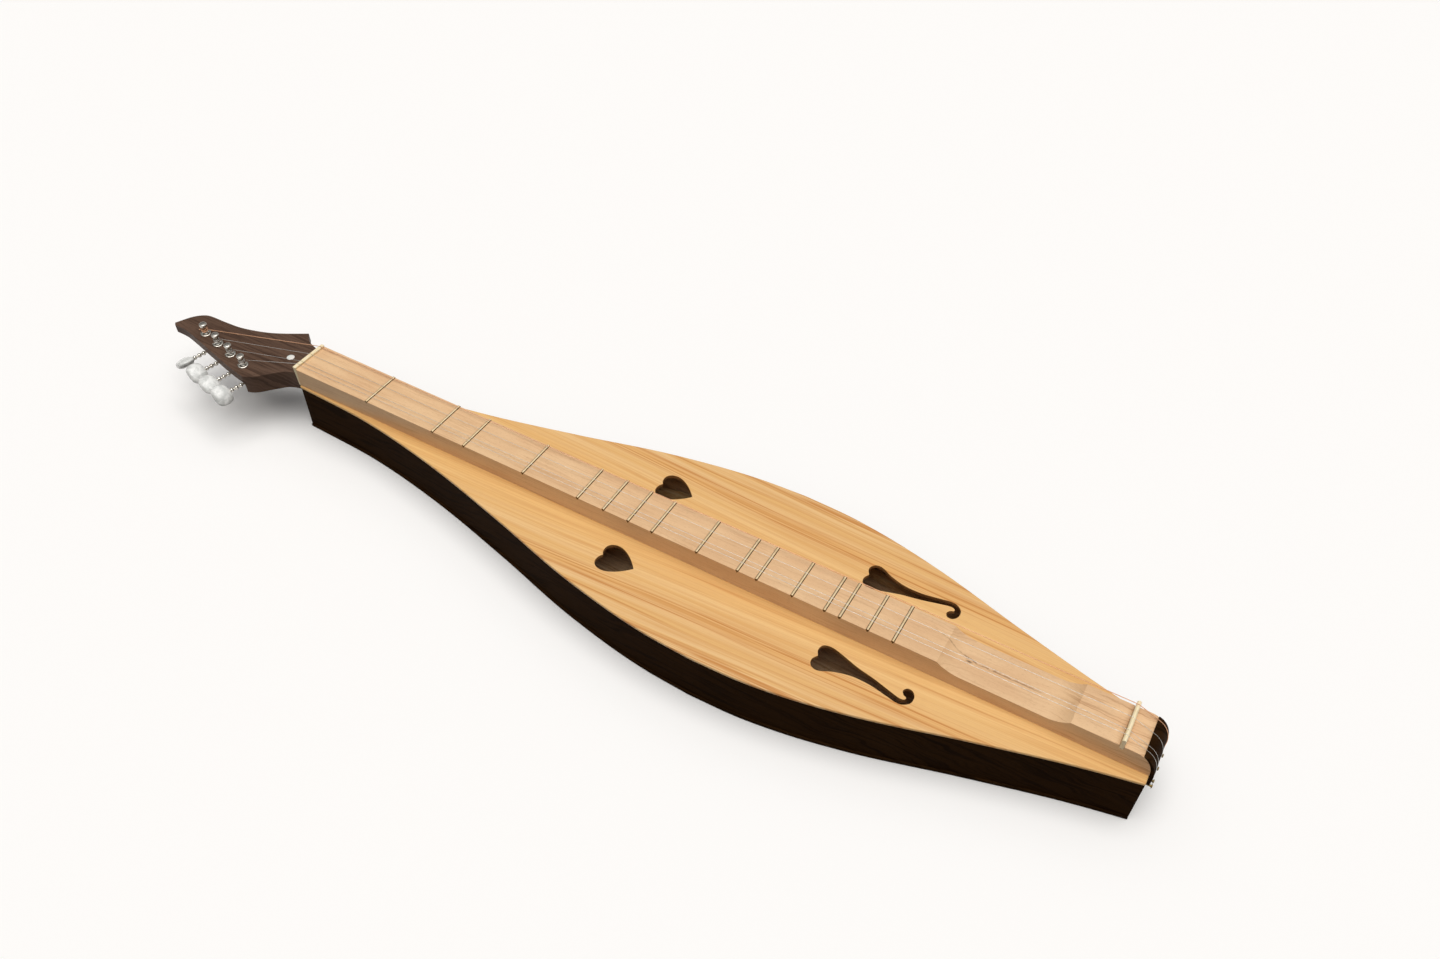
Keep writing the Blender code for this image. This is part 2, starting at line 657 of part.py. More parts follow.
def make_tail_block():
    start = TAIL_X - TAIL_BLOCK_LENGTH
    inset = SIDE_INSET + GAP
    outline = edge_run(start, TAIL_X, inset, -1) + edge_run(start, TAIL_X, inset, 1)[::-1]
    block = prism(outline, INSIDE_LOW, INSIDE_HIGH)
    radius = HITCH_PIN_RADIUS + SLOT_GAP
    holes = []
    for index in range(len(STRING_YS)):
        centre = hitch_pin_centre(index)
        hole = arc(centre, radius, radius, 0, 360, PIN_SIDES)[:-1]
        holes.append(prism(hole, TAIL_X - HITCH_PIN_DEPTH - SLOT_GAP, TAIL_X + HITCH_PIN_DEPTH, "X"))
    place("tail_block", boolean(block, joined(holes)), "walnut")


def make_hitch_pins():
    end = TAIL_X + HITCH_PIN_REACH
    profile = (
        (HITCH_PIN_RADIUS, TAIL_X - HITCH_PIN_DEPTH),
        (HITCH_PIN_RADIUS, end - HITCH_HEAD_THICKNESS),
        (HITCH_HEAD_RADIUS, end - HITCH_HEAD_THICKNESS),
        (HITCH_HEAD_RADIUS, end - HITCH_HEAD_THICKNESS / 3),
        (HITCH_HEAD_RADIUS / 2, end),
    )
    pin = turned(profile, PIN_SIDES)
    for index, name in enumerate(STRING_NAMES):
        y, z = hitch_pin_centre(index)
        place(f"hitch_pin_{name}", pin, "brass", location=(0, y, z), rotation=(0, math.radians(90), 0))


def head_planform():
    """The peghead seen from above, with its block between the body's sides."""
    block_far = edge_run(NUT_X, NUT_X + HEAD_BLOCK_LENGTH, SIDE_INSET + GAP, 1)[::-1]
    block_near = edge_run(NUT_X, NUT_X + HEAD_BLOCK_LENGTH, SIDE_INSET + GAP, -1)
    shoulder = NUT_X - GAP

    def from_nut(points):
        return [(NUT_X + x, y) for x, y in points]

    neck_x = -GAP - NUT_TOP_THICKNESS
    far_neck = smooth_run(((neck_x, HEAD_NECK_FAR_Y),) + HEAD_FAR_NECK, 4)[:-1]
    far_edge = smooth_run(HEAD_FAR_EDGE, 3)
    near_edge = smooth_run(HEAD_NEAR_EDGE + ((neck_x, HEAD_NECK_NEAR_Y),), 3)
    return (
        block_far
        + [(shoulder, block_far[-1][1]), (shoulder, HEAD_NECK_FAR_Y)]
        + from_nut(far_neck + far_edge + near_edge)
        + [(shoulder, HEAD_NECK_NEAR_Y), (shoulder, block_near[0][1])]
        + block_near
    )


def head_side_profile():
    """The peghead seen from the player: plate, ledge under the nut, and block between soundboard and back."""
    tip = NUT_X + 2 * HEAD_FAR_EDGE[-1][0]
    return (
        (tip, HEAD_TOP),
        (NUT_X - NUT_TOP_THICKNESS - GAP, HEAD_TOP),
        (NUT_X - NUT_TOP_THICKNESS - GAP, SOUNDBOARD_TOP),
        (NUT_X - GAP, SOUNDBOARD_TOP),
        (NUT_X - GAP, INSIDE_HIGH),
        (NUT_X + 2 * HEAD_BLOCK_LENGTH, INSIDE_HIGH),
        (NUT_X + 2 * HEAD_BLOCK_LENGTH, INSIDE_LOW),
        (NUT_X, INSIDE_LOW),
        (NUT_X, HEAD_UNDER),
        (tip, HEAD_UNDER),
    )


def on_head(mesh):
    """Carries a mesh from the tuners' own frame, centred on the first post at the head's top, to the body."""
    return moved(mesh, TUNER_LINE)


TUNER_LINE = (
    Matrix.Translation((NUT_X + FIRST_POST_FROM_NUT, FIRST_POST_Y, HEAD_TOP))
    @ Matrix.Rotation(math.radians(TUNER_LINE_DEGREES), 4, "Z")
)
PLATE_SCREW_PLACES = [-PLATE_SCREW_BEFORE_FIRST_POST]
PLATE_SCREW_PLACES += [i * TUNER_PITCH + PLATE_SCREW_AFTER_POST for i in range(1, TUNER_COUNT - 1)]


def round_hole(x, y, radius, low, high, sides=HOLE_SIDES):
    """A cutter for an upright round hole."""
    return prism(arc((x, y), radius, radius, 0, 360, sides)[:-1], low, high)


def make_peghead():
    wide = WIDEST_WIDTH
    profile = prism(head_side_profile(), -wide, wide, "Y")
    head = boolean(prism(head_planform(), -BODY_DEPTH, FRETBOARD_TOP + BODY_DEPTH), profile, "INTERSECT")
    # The tuners' recess runs past the head on three sides and ends in a cove towards the nut
    recess_high = -HEAD_THIN_THICKNESS
    recess_low = -2 * HEAD_THICKNESS
    cove_x = PLATE_END + GAP
    radius = RECESS_COVE_RADIUS
    cove = arc((cove_x, recess_high - radius), radius, radius, 90, 0, COVE_STEPS)
    past = -PLATE_END
    outline = [(past, recess_high)] + cove + [(cove_x + RECESS_COVE_RADIUS, recess_low), (past, recess_low)]
    head = boolean(head, on_head(prism(outline, -wide, wide, "Y")))
    holes = []
    for i in range(TUNER_COUNT):
        radius = BUSHING_SLEEVE_RADIUS + GAP
        holes.append(on_head(round_hole(i * TUNER_PITCH, 0, radius, recess_low, HEAD_THICKNESS)))
    for x in PLATE_SCREW_PLACES:
        radius = SCREW_SHANK_RADIUS + SLOT_GAP
        screw_end = recess_high + SCREW_SHANK_DEPTH + SLOT_GAP
        holes.append(on_head(round_hole(x, 0, radius, recess_low, screw_end, SMALL_HOLE_SIDES)))
    pearl_low = HEAD_TOP - PEARL_THICKNESS - GAP
    pearl_hole = (NUT_X + PEARL_FROM_NUT, PEARL_Y, PEARL_RADIUS + SLOT_GAP, pearl_low, FRETBOARD_TOP)
    holes.append(round_hole(*pearl_hole, PEARL_SIDES))
    place("peghead", boolean(head, joined(holes), smooth_degrees=25), "walnut")


def make_pearl_dot():
    profile = ((PEARL_RADIUS, -PEARL_THICKNESS), (PEARL_RADIUS, 0))
    location = (NUT_X + PEARL_FROM_NUT, PEARL_Y, HEAD_TOP)
    place("pearl_dot", turned(profile, PEARL_SIDES), "pearl", location=location)


def make_tuner_plate():
    half = PLATE_WIDTH / 2
    high = PLATE_LOW + PLATE_THICKNESS
    plate = box((-PLATE_BEFORE_FIRST_POST, -half, PLATE_LOW), (PLATE_END, half, high))
    ears = []
    holes = []
    bores = []
    for i in range(TUNER_COUNT):
        centre = (i * TUNER_PITCH + WORM_OFFSET, WORM_AXIS_Z)
        ear_top = PLATE_LOW + PLATE_THICKNESS / 2
        ear = arc(centre, EAR_HALF_WIDTH, EAR_HALF_WIDTH, 180, 360, EAR_STEPS)
        ear += [(centre[0] + EAR_HALF_WIDTH, ear_top), (centre[0] - EAR_HALF_WIDTH, ear_top)]
        for side in (-1, 1):
            near, far = sorted((side * EAR_INNER, side * EAR_OUTER))
            ears.append(prism(ear, near, far, "Y"))
        bore = arc(centre, BORE_RADIUS, BORE_RADIUS, 0, 360, SMALL_HOLE_SIDES)[:-1]
        bores.append(prism(bore, -half, half, "Y"))
        holes.append(round_hole(i * TUNER_PITCH, 0, POST_RADIUS + GAP, PLATE_LOW - half, high + half))
    for x in PLATE_SCREW_PLACES:
        radius = SCREW_SHANK_RADIUS + SLOT_GAP
        holes.append(round_hole(x, 0, radius, PLATE_LOW - half, high + half, SMALL_HOLE_SIDES))
    plate = boolean(plate, joined(ears), "UNION")
    plate = boolean(plate, joined(bores))
    plate = boolean(plate, joined(holes), smooth_degrees=25)
    place("tuner_plate", on_head(plate), "nickel")


def make_plate_screws():
    under = PLATE_LOW - GAP
    profile = (
        (SCREW_HEAD_RADIUS * SCREW_CROWN_SHARE, under - SCREW_HEAD_THICKNESS),
        (SCREW_HEAD_RADIUS, under - SCREW_HEAD_THICKNESS / 2),
        (SCREW_HEAD_RADIUS, under),
        (SCREW_SHANK_RADIUS, under),
        (SCREW_SHANK_RADIUS, -HEAD_THIN_THICKNESS + SCREW_SHANK_DEPTH),
    )
    screw = turned(profile, SCREW_SIDES)
    for number, x in enumerate(PLATE_SCREW_PLACES, 1):
        place(f"plate_screw_{number}", screw, "steel", location=TUNER_LINE @ Vector((x, 0, 0)))


def bushing_mesh():
    bore = POST_RADIUS + GAP
    high = GAP + BUSHING_FLANGE_THICKNESS
    profile = (
        (bore, -BUSHING_SLEEVE_DEPTH),
        (BUSHING_SLEEVE_RADIUS, -BUSHING_SLEEVE_DEPTH),
        (BUSHING_SLEEVE_RADIUS, GAP),
        (BUSHING_FLANGE_RADIUS, GAP),
        (BUSHING_FLANGE_RADIUS, high - BUSHING_FLANGE_THICKNESS / 3),
        (BUSHING_FLANGE_RADIUS - BUSHING_FLANGE_THICKNESS / 3, high),
        (bore, high),
    )
    return turned(profile, BUSHING_SIDES, hollow=True)


def post_mesh():
    """A string post from the gear's seat to its cap, with a square spigot, a screw bore and a string hole."""
    seat = WORM_AXIS_Z + GEAR_THICKNESS / 2 + GAP
    collar = BUSHING_FLANGE_THICKNESS + 2 * GAP
    waist_low = collar + POST_COLLAR_THICKNESS
    edge = (POST_HEIGHT - POST_WAIST_TOP) / 4
    profile = (
        (POST_RADIUS, seat),
        (POST_RADIUS, collar),
        (POST_COLLAR_RADIUS, collar),
        (POST_COLLAR_RADIUS, waist_low),
        (POST_WAIST_RADIUS, waist_low + POST_WAIST_FLARE),
        (POST_WAIST_RADIUS, POST_WAIST_TOP),
        (POST_CAP_RADIUS, POST_WAIST_TOP + edge),
        (POST_CAP_RADIUS, POST_HEIGHT - edge),
        (POST_CAP_RADIUS - edge, POST_HEIGHT),
    )
    spigot_low = WORM_AXIS_Z - GEAR_THICKNESS / 2 + GAP
    half = SPIGOT_HALF_WIDTH
    spigot = box((-half, -half, spigot_low), (half, half, seat + half))
    post = boolean(turned(profile, POST_SIDES), spigot, "UNION")
    bore_radius = SCREW_SHANK_RADIUS + GAP
    bore = round_hole(0, 0, bore_radius, spigot_low - half, spigot_low + GEAR_SCREW_BORE_DEPTH)
    post = boolean(post, bore)
    hole_radius = BASS_DIAMETER / 2 + GAP
    hole = arc((0, POST_HOLE_HEIGHT), hole_radius, hole_radius, 0, 360, SMALL_HOLE_SIDES)[:-1]
    return boolean(post, prism(hole, -2 * POST_RADIUS, 2 * POST_RADIUS, "Y"), smooth_degrees=35)


def gear_mesh():
    """The gear, with a valley between two teeth facing the worm at +X, and a square hole for the spigot."""
    count = GEAR_TEETH * POINTS_PER_TOOTH
    outline = []
    for i in range(count):
        angle = 2 * math.pi * i / count
        radius = GEAR_RADIUS - TOOTH_HALF_HEIGHT * math.cos(GEAR_TEETH * angle)
        outline.append((radius * math.cos(angle), radius * math.sin(angle)))
    low = WORM_AXIS_Z - GEAR_THICKNESS / 2
    high = WORM_AXIS_Z + GEAR_THICKNESS / 2
    half = SPIGOT_HALF_WIDTH + GAP
    hole = box((-half, -half, low - half), (half, half, high + half))
    return boolean(prism(outline, low, high), hole, smooth_degrees=40)


def gear_screw_mesh():
    under = WORM_AXIS_Z - GEAR_THICKNESS / 2 - GAP
    head_radius = SPIGOT_HALF_WIDTH * math.sqrt(2) + 2 * GAP
    profile = (
        (head_radius * SCREW_CROWN_SHARE, under - SCREW_HEAD_THICKNESS),
        (head_radius, under - SCREW_HEAD_THICKNESS / 2),
        (head_radius, under),
        (SCREW_SHANK_RADIUS, under),
        (SCREW_SHANK_RADIUS, under + GEAR_SCREW_BORE_DEPTH),
    )
    return turned(profile, SCREW_SIDES)


def shaft_mesh():
    """A key shaft along its own +Z, which points to the button: end collar, worm, collar and turned beads."""
    collar_inner = EAR_OUTER + GAP
    collar_outer = collar_inner + SHAFT_COLLAR_THICKNESS
    stations = [(-collar_outer, SHAFT_COLLAR_RADIUS), (-collar_inner, SHAFT_COLLAR_RADIUS)]
    stations += [(-collar_inner, SHAFT_RADIUS), (-WORM_HALF_LENGTH, SHAFT_RADIUS)]
    after = [(WORM_HALF_LENGTH, SHAFT_RADIUS), (collar_inner, SHAFT_RADIUS)]
    after += [(collar_inner, SHAFT_COLLAR_RADIUS), (collar_outer, SHAFT_COLLAR_RADIUS)]
    after += [(collar_outer, SHAFT_RADIUS)]
    neck = math.acos(SHAFT_RADIUS / BEAD_RADIUS)
    for bead in range(BEAD_COUNT):
        centre = FIRST_BEAD_FROM_POST + bead * BEAD_PITCH
        for i in range(BEAD_STEPS + 1):
            angle = -neck + 2 * neck * i / BEAD_STEPS
            after.append((centre + BEAD_RADIUS * math.sin(angle), BEAD_RADIUS * math.cos(angle)))
    after += [(BUTTON_FROM_POST + BUTTON_BORE_DEPTH - GAP, SHAFT_RADIUS)]
    rings = []
    for along, radius in stations:
        rings.append(shaft_ring(along, lambda angle, size=radius: size))
    steps = RINGS_PER_THREAD * WORM_TURNS
    for i in range(1, steps):
        along = -WORM_HALF_LENGTH + 2 * WORM_HALF_LENGTH * i / steps
        phase = 2 * math.pi * along / WORM_PITCH
        rings.append(shaft_ring(along, lambda angle, turn=phase: thread_radius(angle, turn)))
    for along, radius in after:
        rings.append(shaft_ring(along, lambda angle, size=radius: size))
    return loft(rings, smooth_degrees=40)


def shaft_ring(along, radius_at):
    """One ring of a shaft's skin, its radius given by the angle about the axis."""
    ring = []
    for i in range(SHAFT_SIDES):
        angle = 2 * math.pi * i / SHAFT_SIDES
        radius = radius_at(angle)
        ring.append((radius * math.cos(angle), radius * math.sin(angle), along))
    return ring


def thread_radius(angle, phase):
    """A right-hand thread whose ridge faces the gear, at angle pi, where the phase is zero."""
    return WORM_RADIUS + TOOTH_HALF_HEIGHT * math.cos(phase - (angle - math.pi))


def button_ring(size):
    """A button's section at a share of its full size."""
    return arc((0, 0), BUTTON_WIDTH / 2 * size, BUTTON_THICKNESS / 2 * size, 0, 360, BUTTON_SIDES)[:-1]


def button_mesh():
    """An oval button along +Z from its shaft end, wide along X and flattened along Y, with a blind bore."""
    # The ends are flats where the outline is still this far, in radians, from closing
    end = 0.19
    # Under 1, the power that makes the oval's outline fuller than an ellipse
    fullness = 0.5
    rings = []
    for level in range(BUTTON_LEVELS + 1):
        angle = end + (math.pi - 2 * end) * level / BUTTON_LEVELS
        along = BUTTON_LENGTH / 2 * (1 - math.cos(angle) / math.cos(end))
        size = math.sin(angle) ** fullness
        rings.append([(x, y, along) for x, y in button_ring(size)])
    bore = round_hole(0, 0, BORE_RADIUS, -BUTTON_BORE_DEPTH, BUTTON_BORE_DEPTH)
    return boolean(loft(rings), bore, smooth_degrees=50)


def winding_route(index, nut_point):
    """A string's turns round its post, in the post's frame, and the place and direction where they start."""
    diameter = STRING_DIAMETERS[index]
    radius = POST_WAIST_RADIUS + GAP + diameter / 2
    pitch = diameter + WINDING_SPACE
    rise = pitch * WINDING_TURNS
    hole_turn = math.pi / 2
    # The tangent from the nut touches the post on its far side
    distance = math.hypot(nut_point.x, nut_point.y)
    start_turn = math.atan2(nut_point.y, nut_point.x) + math.acos(radius / distance)
    sweep = hole_turn + 2 * math.pi * WINDING_TURNS - start_turn
    start_z = POST_HOLE_HEIGHT - pitch - rise
    start = Vector((radius * math.cos(start_turn), radius * math.sin(start_turn), start_z))
    arriving = (start - nut_point).normalized()
    steps = round(POINTS_PER_TURN * sweep / (2 * math.pi))
    route = [tuple(start - arriving * diameter)]
    for i in range(steps + 1):
        share = i / steps
        turn = start_turn + sweep * share
        # The last half turn climbs by one pitch more, to pass over the turns below into the string hole
        left = sweep * (1 - share)
        climb = pitch * max(0, 1 - left / math.pi)
        route.append((radius * math.cos(turn), radius * math.sin(turn), start_z + rise * share + climb))
    route.append((0, -POST_WAIST_RADIUS - 4 * diameter, POST_HOLE_HEIGHT))
    string_end = start - arriving * (diameter + GAP)
    return route, string_end


def least_gap(route, diameter):
    """The least space between stretches of a wound cord that lie more than half a turn apart."""
    points = np.array(route)
    steps = np.linalg.norm(np.diff(points, axis=0), axis=1)
    way = np.concatenate(([0], np.cumsum(steps)))
    apart = np.linalg.norm(points[:, None] - points[None], axis=2)
    far_enough = np.abs(way[:, None] - way[None]) > math.pi * POST_WAIST_RADIUS
    return float(apart[far_enough].min()) - diameter


def make_tuners():
    """Four geared tuners: each post turns about its empty's Z, each key about its own empty's Z."""
    post = post_mesh()
    gear = gear_mesh()
    screw = gear_screw_mesh()
    bushing = bushing_mesh()
    shaft = shaft_mesh()
    button = button_mesh()
    ends = []
    for i in range(TUNER_COUNT):
        number = i + 1
        seat = bpy.data.objects.new(f"post_axis_{number}", None)
        bpy.context.collection.objects.link(seat)
        seat.matrix_world = TUNER_LINE @ Matrix.Translation((i * TUNER_PITCH, 0, 0))
        key = bpy.data.objects.new(f"key_axis_{number}", None)
        bpy.context.collection.objects.link(key)
        key.parent = seat
        key.location = (WORM_OFFSET, 0, WORM_AXIS_Z)
        key.rotation_euler = (math.radians(90), 0, 0)
        place(f"post_bushing_{number}", bushing, "nickel", seat)
        place(f"post_{number}", post, "nickel", seat)
        place(f"gear_{number}", gear, "brass", seat)
        place(f"gear_screw_{number}", screw, "steel", seat)
        place(f"key_shaft_{number}", shaft, "nickel", key)
        turn = (0, 0, math.radians(BUTTON_TILT_DEGREES[i]))
        place(f"key_button_{number}", button, "pearl", key, (0, 0, BUTTON_FROM_POST), turn)
        over_nut = Vector((NUT_X - NUT_TOP_THICKNESS, STRING_YS[i], string_height_at_nut(i)))
        route, string_end = winding_route(i, seat.matrix_world.inverted() @ over_nut)
        kind = "copper" if i == 0 else "steel"
        tube(f"winding_{STRING_NAMES[i]}", route, STRING_DIAMETERS[i], 1, kind, seat)
        least = least_gap(route, STRING_DIAMETERS[i])
        print(f"winding {STRING_NAMES[i]} least gap to itself {least * 1000:.2f} mm")
        ends.append(seat.matrix_world @ string_end)
    return ends


def string_height_at_nut(index):
    return FRETBOARD_TOP + NUT_HEIGHT - NUT_NOTCH_DEPTH + GAP + STRING_DIAMETERS[index] / 2


def make_strings(ends):
    """Each string from its post over nut, bridge and tail cap to a loop round its hitch pin."""
    for index, end in enumerate(ends):
        y = STRING_YS[index]
        diameter = STRING_DIAMETERS[index]
        clear = GAP + diameter / 2
        at_nut = string_height_at_nut(index)
        over_bridge = (BRIDGE_X, FRETBOARD_TOP + BRIDGE_HEIGHT + clear)
        curve = cap_outer(90, 0, clear)
        slopes = [(z - over_bridge[1]) / (x - over_bridge[0]) for x, z in curve]
        leaves = slopes.index(max(slopes))
        pin_y, pin_z = hitch_pin_centre(index)
        loop_radius = y - pin_y
        face = TAIL_X + GAP + CAP_THICKNESS + clear
        loop_x = TAIL_X + (HITCH_PIN_REACH - HITCH_HEAD_THICKNESS) / 2
        skirt_low = FRETBOARD_TOP - CAP_ROUND_DROP - CAP_SKIRT
        route = [tuple(end)]
        route += [(NUT_X - NUT_TOP_THICKNESS, y, at_nut), (NUT_X, y, at_nut)]
        route += [(over_bridge[0], y, over_bridge[1])]
        route += [(x, y, z) for x, z in curve[leaves:]]
        route += [(face, y, skirt_low)]
        for turn_y, turn_z in arc((pin_y, pin_z), loop_radius, loop_radius, 0, -225, LOOP_STEPS):
            route.append((loop_x, turn_y, turn_z))
        kind = "copper" if index == 0 else "steel"
        tube(f"string_{STRING_NAMES[index]}", route, diameter, 2, kind)


make_back()
make_sides()
make_linings()
make_braces()
make_soundboard()
make_fretboard()
make_nut()
make_bridge()
make_tail_cap()
make_tail_block()
make_hitch_pins()
make_peghead()
make_pearl_dot()
make_tuner_plate()
make_plate_screws()
make_strings(make_tuners())
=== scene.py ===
"""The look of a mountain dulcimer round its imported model: its woods, metals, bone, pearl and finer shapes.

Units are metres, in the part's own frame: +X from the peghead to the tail, +Y away from the player, +Z up.
"""

from math import acos, atan2, copysign, cos, degrees, hypot, pi, radians, sin, sqrt

import bmesh
import bpy
import numpy as np
from mathutils import Matrix, Vector
from mathutils.geometry import interpolate_bezier


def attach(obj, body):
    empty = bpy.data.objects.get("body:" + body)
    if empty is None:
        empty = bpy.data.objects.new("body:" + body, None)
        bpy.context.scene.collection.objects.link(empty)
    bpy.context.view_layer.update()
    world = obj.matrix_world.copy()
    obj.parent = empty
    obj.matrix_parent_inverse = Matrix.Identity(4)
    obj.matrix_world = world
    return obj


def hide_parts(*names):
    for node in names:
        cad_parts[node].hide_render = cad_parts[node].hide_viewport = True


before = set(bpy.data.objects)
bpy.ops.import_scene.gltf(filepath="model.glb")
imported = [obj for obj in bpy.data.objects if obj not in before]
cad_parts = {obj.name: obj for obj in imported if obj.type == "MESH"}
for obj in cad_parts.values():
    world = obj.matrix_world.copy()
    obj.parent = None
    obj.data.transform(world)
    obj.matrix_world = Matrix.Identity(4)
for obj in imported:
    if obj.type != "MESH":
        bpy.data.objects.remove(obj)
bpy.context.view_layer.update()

# Strings
SCALE_LENGTH = 0.724
NUT_X = -SCALE_LENGTH / 2
BRIDGE_X = 0.366
TAIL_X = 0.389
STRINGS = {
    "bass": {"y": 0.0145, "diameter": 0.0006},
    "middle": {"y": 0.0028, "diameter": 0.0003},
    "melody_outer": {"y": -0.0084, "diameter": 0.0003},
    "melody_inner": {"y": -0.0126, "diameter": 0.0003},
}

# Air between two fitted pieces
GAP = 0.0001

# Body
SOUNDBOARD_TOP = 0.048
SOUNDBOARD_UNDER = 0.0452
BACK_TOP = 0.003
ROUND_OVER = 0.0008
EDGE_OVERHANG = 0.0012
SIDE_THICKNESS = 0.0025
SEAM = 0.00015
LEAST_STEP = 0.0002
HEAD_END_WIDTH = 0.0378
WIDEST_WIDTH = 0.18376
WIDEST_FROM_NUT = 0.440
TAIL_END_WIDTH = 0.050
FRONT_SWELL = ((0, 0), (0.18, 0.058), (0.36, 0.232), (0.55, 0.505), (0.73, 0.791), (0.91, 0.970), (1, 1))
TAIL_SWELL = ((0, 1), (0.13, 0.975), (0.26, 0.891), (0.39, 0.759), (0.64, 0.421), (0.90, 0.099), (1, 0))

# Sound holes, each drawn from the notch of its heart
HOLE_MARGIN = 0.004
HEART_NOTCH = (-0.0305, 0.0435)
HEART_LENGTH = 0.0301
HEART_WIDTH = 0.0268
SCROLL_NOTCH = (0.1561, 0.0434)
SCROLL_OUTLINE = (
    (0.0000, 0.0000), (-0.0022, -0.0050), (-0.0004, -0.0102), (0.0059, -0.0117), (0.0149, -0.0096),
    (0.0294, -0.0052), (0.0429, -0.0025), (0.0560, 0.0010), (0.0645, 0.0031), (0.0682, 0.0026),
    (0.0690, 0.0006), (0.0664, -0.0008), (0.0647, -0.0038), (0.0667, -0.0070), (0.0708, -0.0068),
    (0.0738, -0.0028), (0.0735, 0.0030), (0.0691, 0.0070), (0.0638, 0.0077), (0.0559, 0.0062),
    (0.0426, 0.0038), (0.0287, 0.0037), (0.0159, 0.0069), (0.0069, 0.0112), (0.0015, 0.0114),
    (-0.0018, 0.0084), (-0.0024, 0.0042),
)

# Fretboard, nut, bridge and tail cap
BOARD_HALF = 0.018
BOARD_LOW = SOUNDBOARD_TOP + GAP / 2
BOARD_TOP = 0.066
HOLLOW_START = 0.234
HOLLOW_END = 0.331
HOLLOW_DEPTH = 0.0063
HOLLOW_ENTRY_RUN = 0.019
HOLLOW_EXIT_RUN = 0.017
TAIL_ROUND_RUN = 0.0125
FRET_SEMITONES = (2, 4, 5, 7, 9, 10, 11, 12, 14, 16, 17, 19, 21, 22, 24, 26)
FRET_WIDTH = 0.0026
FRET_HEIGHT = 0.0010
FRET_LENGTH = 2 * BOARD_HALF + 0.00004
TANG_WIDTH = 0.0008
TANG_DEPTH = 0.0019
NUT_TOP = 0.0678
NUT_TOP_THICKNESS = 0.0035
NUT_FOOT_THICKNESS = 0.0014
NOTCH_DEPTH = 0.0006
NOTCH_ROOM = 0.00015
BRIDGE_TOP = 0.0728
BRIDGE_LOW = 0.0630
BRIDGE_THICKNESS = 0.0030
BRIDGE_NOTCH = BRIDGE_TOP - 0.0002
CAP_FACE = 0.3920
CAP_ROUND_RUN = 0.013
CAP_ROUND_DROP = 0.020
CAP_LIP = 0.381
CAP_BOTTOM = 0.038
CAP_ROUND_LOW = SOUNDBOARD_TOP + 0.0003

# Peghead, its outlines counted from the nut
NECK_START = -0.0038
HEAD_TOP = 0.059
HEAD_UNDER = 0.041
HEAD_BLOCK_LENGTH = 0.035
HEAD_THIN = 0.008
COVE_RADIUS = 0.003
FAR_NECK = ((-0.0140, 0.0183), (-0.0240, 0.0222), (-0.0319, 0.0297))
FAR_EDGE = ((-0.0319, 0.0297), (-0.0504, 0.0185), (-0.0662, 0.0110), (-0.0880, 0.0048), (-0.1060, 0.0031),
            (-0.1250, 0.0023), (-0.1326, -0.0010), (-0.1390, -0.0080), (-0.1453, -0.0209))
NEAR_EDGE = ((-0.1428, -0.0232), (-0.1290, -0.0235), (-0.1130, -0.0269), (-0.0890, -0.0328),
             (-0.0612, -0.0395), (-0.0440, -0.0427), (-0.0385, -0.0426), (-0.0314, -0.0387),
             (-0.0227, -0.0292), (-0.0150, -0.0210), (-0.0100, -0.0180))
NECK_FAR_Y = 0.0168
NECK_NEAR_Y = -0.0160
PEARL_PLACE = (-0.3846, -0.0028)
PEARL_RADIUS = 0.0034
# Its turned outline, in shares of its radius
PEARL_PROFILE = ((1, -0.0015), (1, -0.0001), (0.97, 0.00002), (0.5, 0.00006))
PEARL_DEPTH = 0.0016
PEARL_GAP = 0.00003

# Tuners, in their own frame: the first post at the origin, the row along +X, the head's top at height 0
TUNER_COUNT = 4
TUNER_PITCH = 0.0205
TUNER_LINE = Matrix.Translation((-0.4718, -0.0178, HEAD_TOP)) @ Matrix.Rotation(radians(-13.4), 4, "Z")
POST_RADIUS = 0.0026
POST_BORE = POST_RADIUS + 0.0002
WAIST_RADIUS = 0.0020
WAIST_LOW = 0.0021
WAIST_TOP = 0.0086
LOW_FLARE = 0.0009
TOP_FLARE = 0.0011
WAIST_STEPS = 12
COLLAR_PROFILE = ((POST_RADIUS, 0.0015), (0.0030, 0.00155), (0.0031, 0.0017), (0.0031, 0.0019))
CAP_PROFILE = ((0.0032, 0.0089), (0.0032, 0.0106), (0.0031, 0.0110), (0.0028, 0.0113), (0.0022, 0.01145),
               (0.0012, 0.0115))
POST_HOLE_HEIGHT = 0.0072
POST_HOLE_RADIUS = 0.0006
SLEEVE_RADIUS = 0.0040
BUSHING_PROFILE = (
    (POST_BORE, -0.0045), (SLEEVE_RADIUS, -0.0045), (SLEEVE_RADIUS, 0.00005), (0.0047, 0.00005), (0.0047, 0.0006),
    (0.0046, 0.0009), (0.0043, 0.0011), (0.0039, 0.0012), (POST_BORE + 0.0003, 0.0012), (POST_BORE, 0.0009),
)
PLATE_LOW = -0.0093
PLATE_HIGH = -0.0083
PLATE_HALF_WIDTH = 0.008
PLATE_CORNER = 0.002
PLATE_START = -0.010
PLATE_END = 0.0707
COVE_START = PLATE_END + 0.0003
SCREW_PLACES = (-0.0070, 0.0327, 0.0532)
PLATE_SCREW_TOP = 0.005 - HEAD_THIN
SCREW_HEAD_RADIUS = 0.0018
SCREW_HEAD_THICKNESS = 0.0010
SCREW_SHANK_RADIUS = 0.0009
SCREW_BORE_RADIUS = 0.0010
POST_BORE_DEPTH = 0.0063
SCREW_SLOT_HALF = 0.0002
SCREW_SLOT_DEPTH = 0.0005
WORM_AXIS_Z = -0.0130
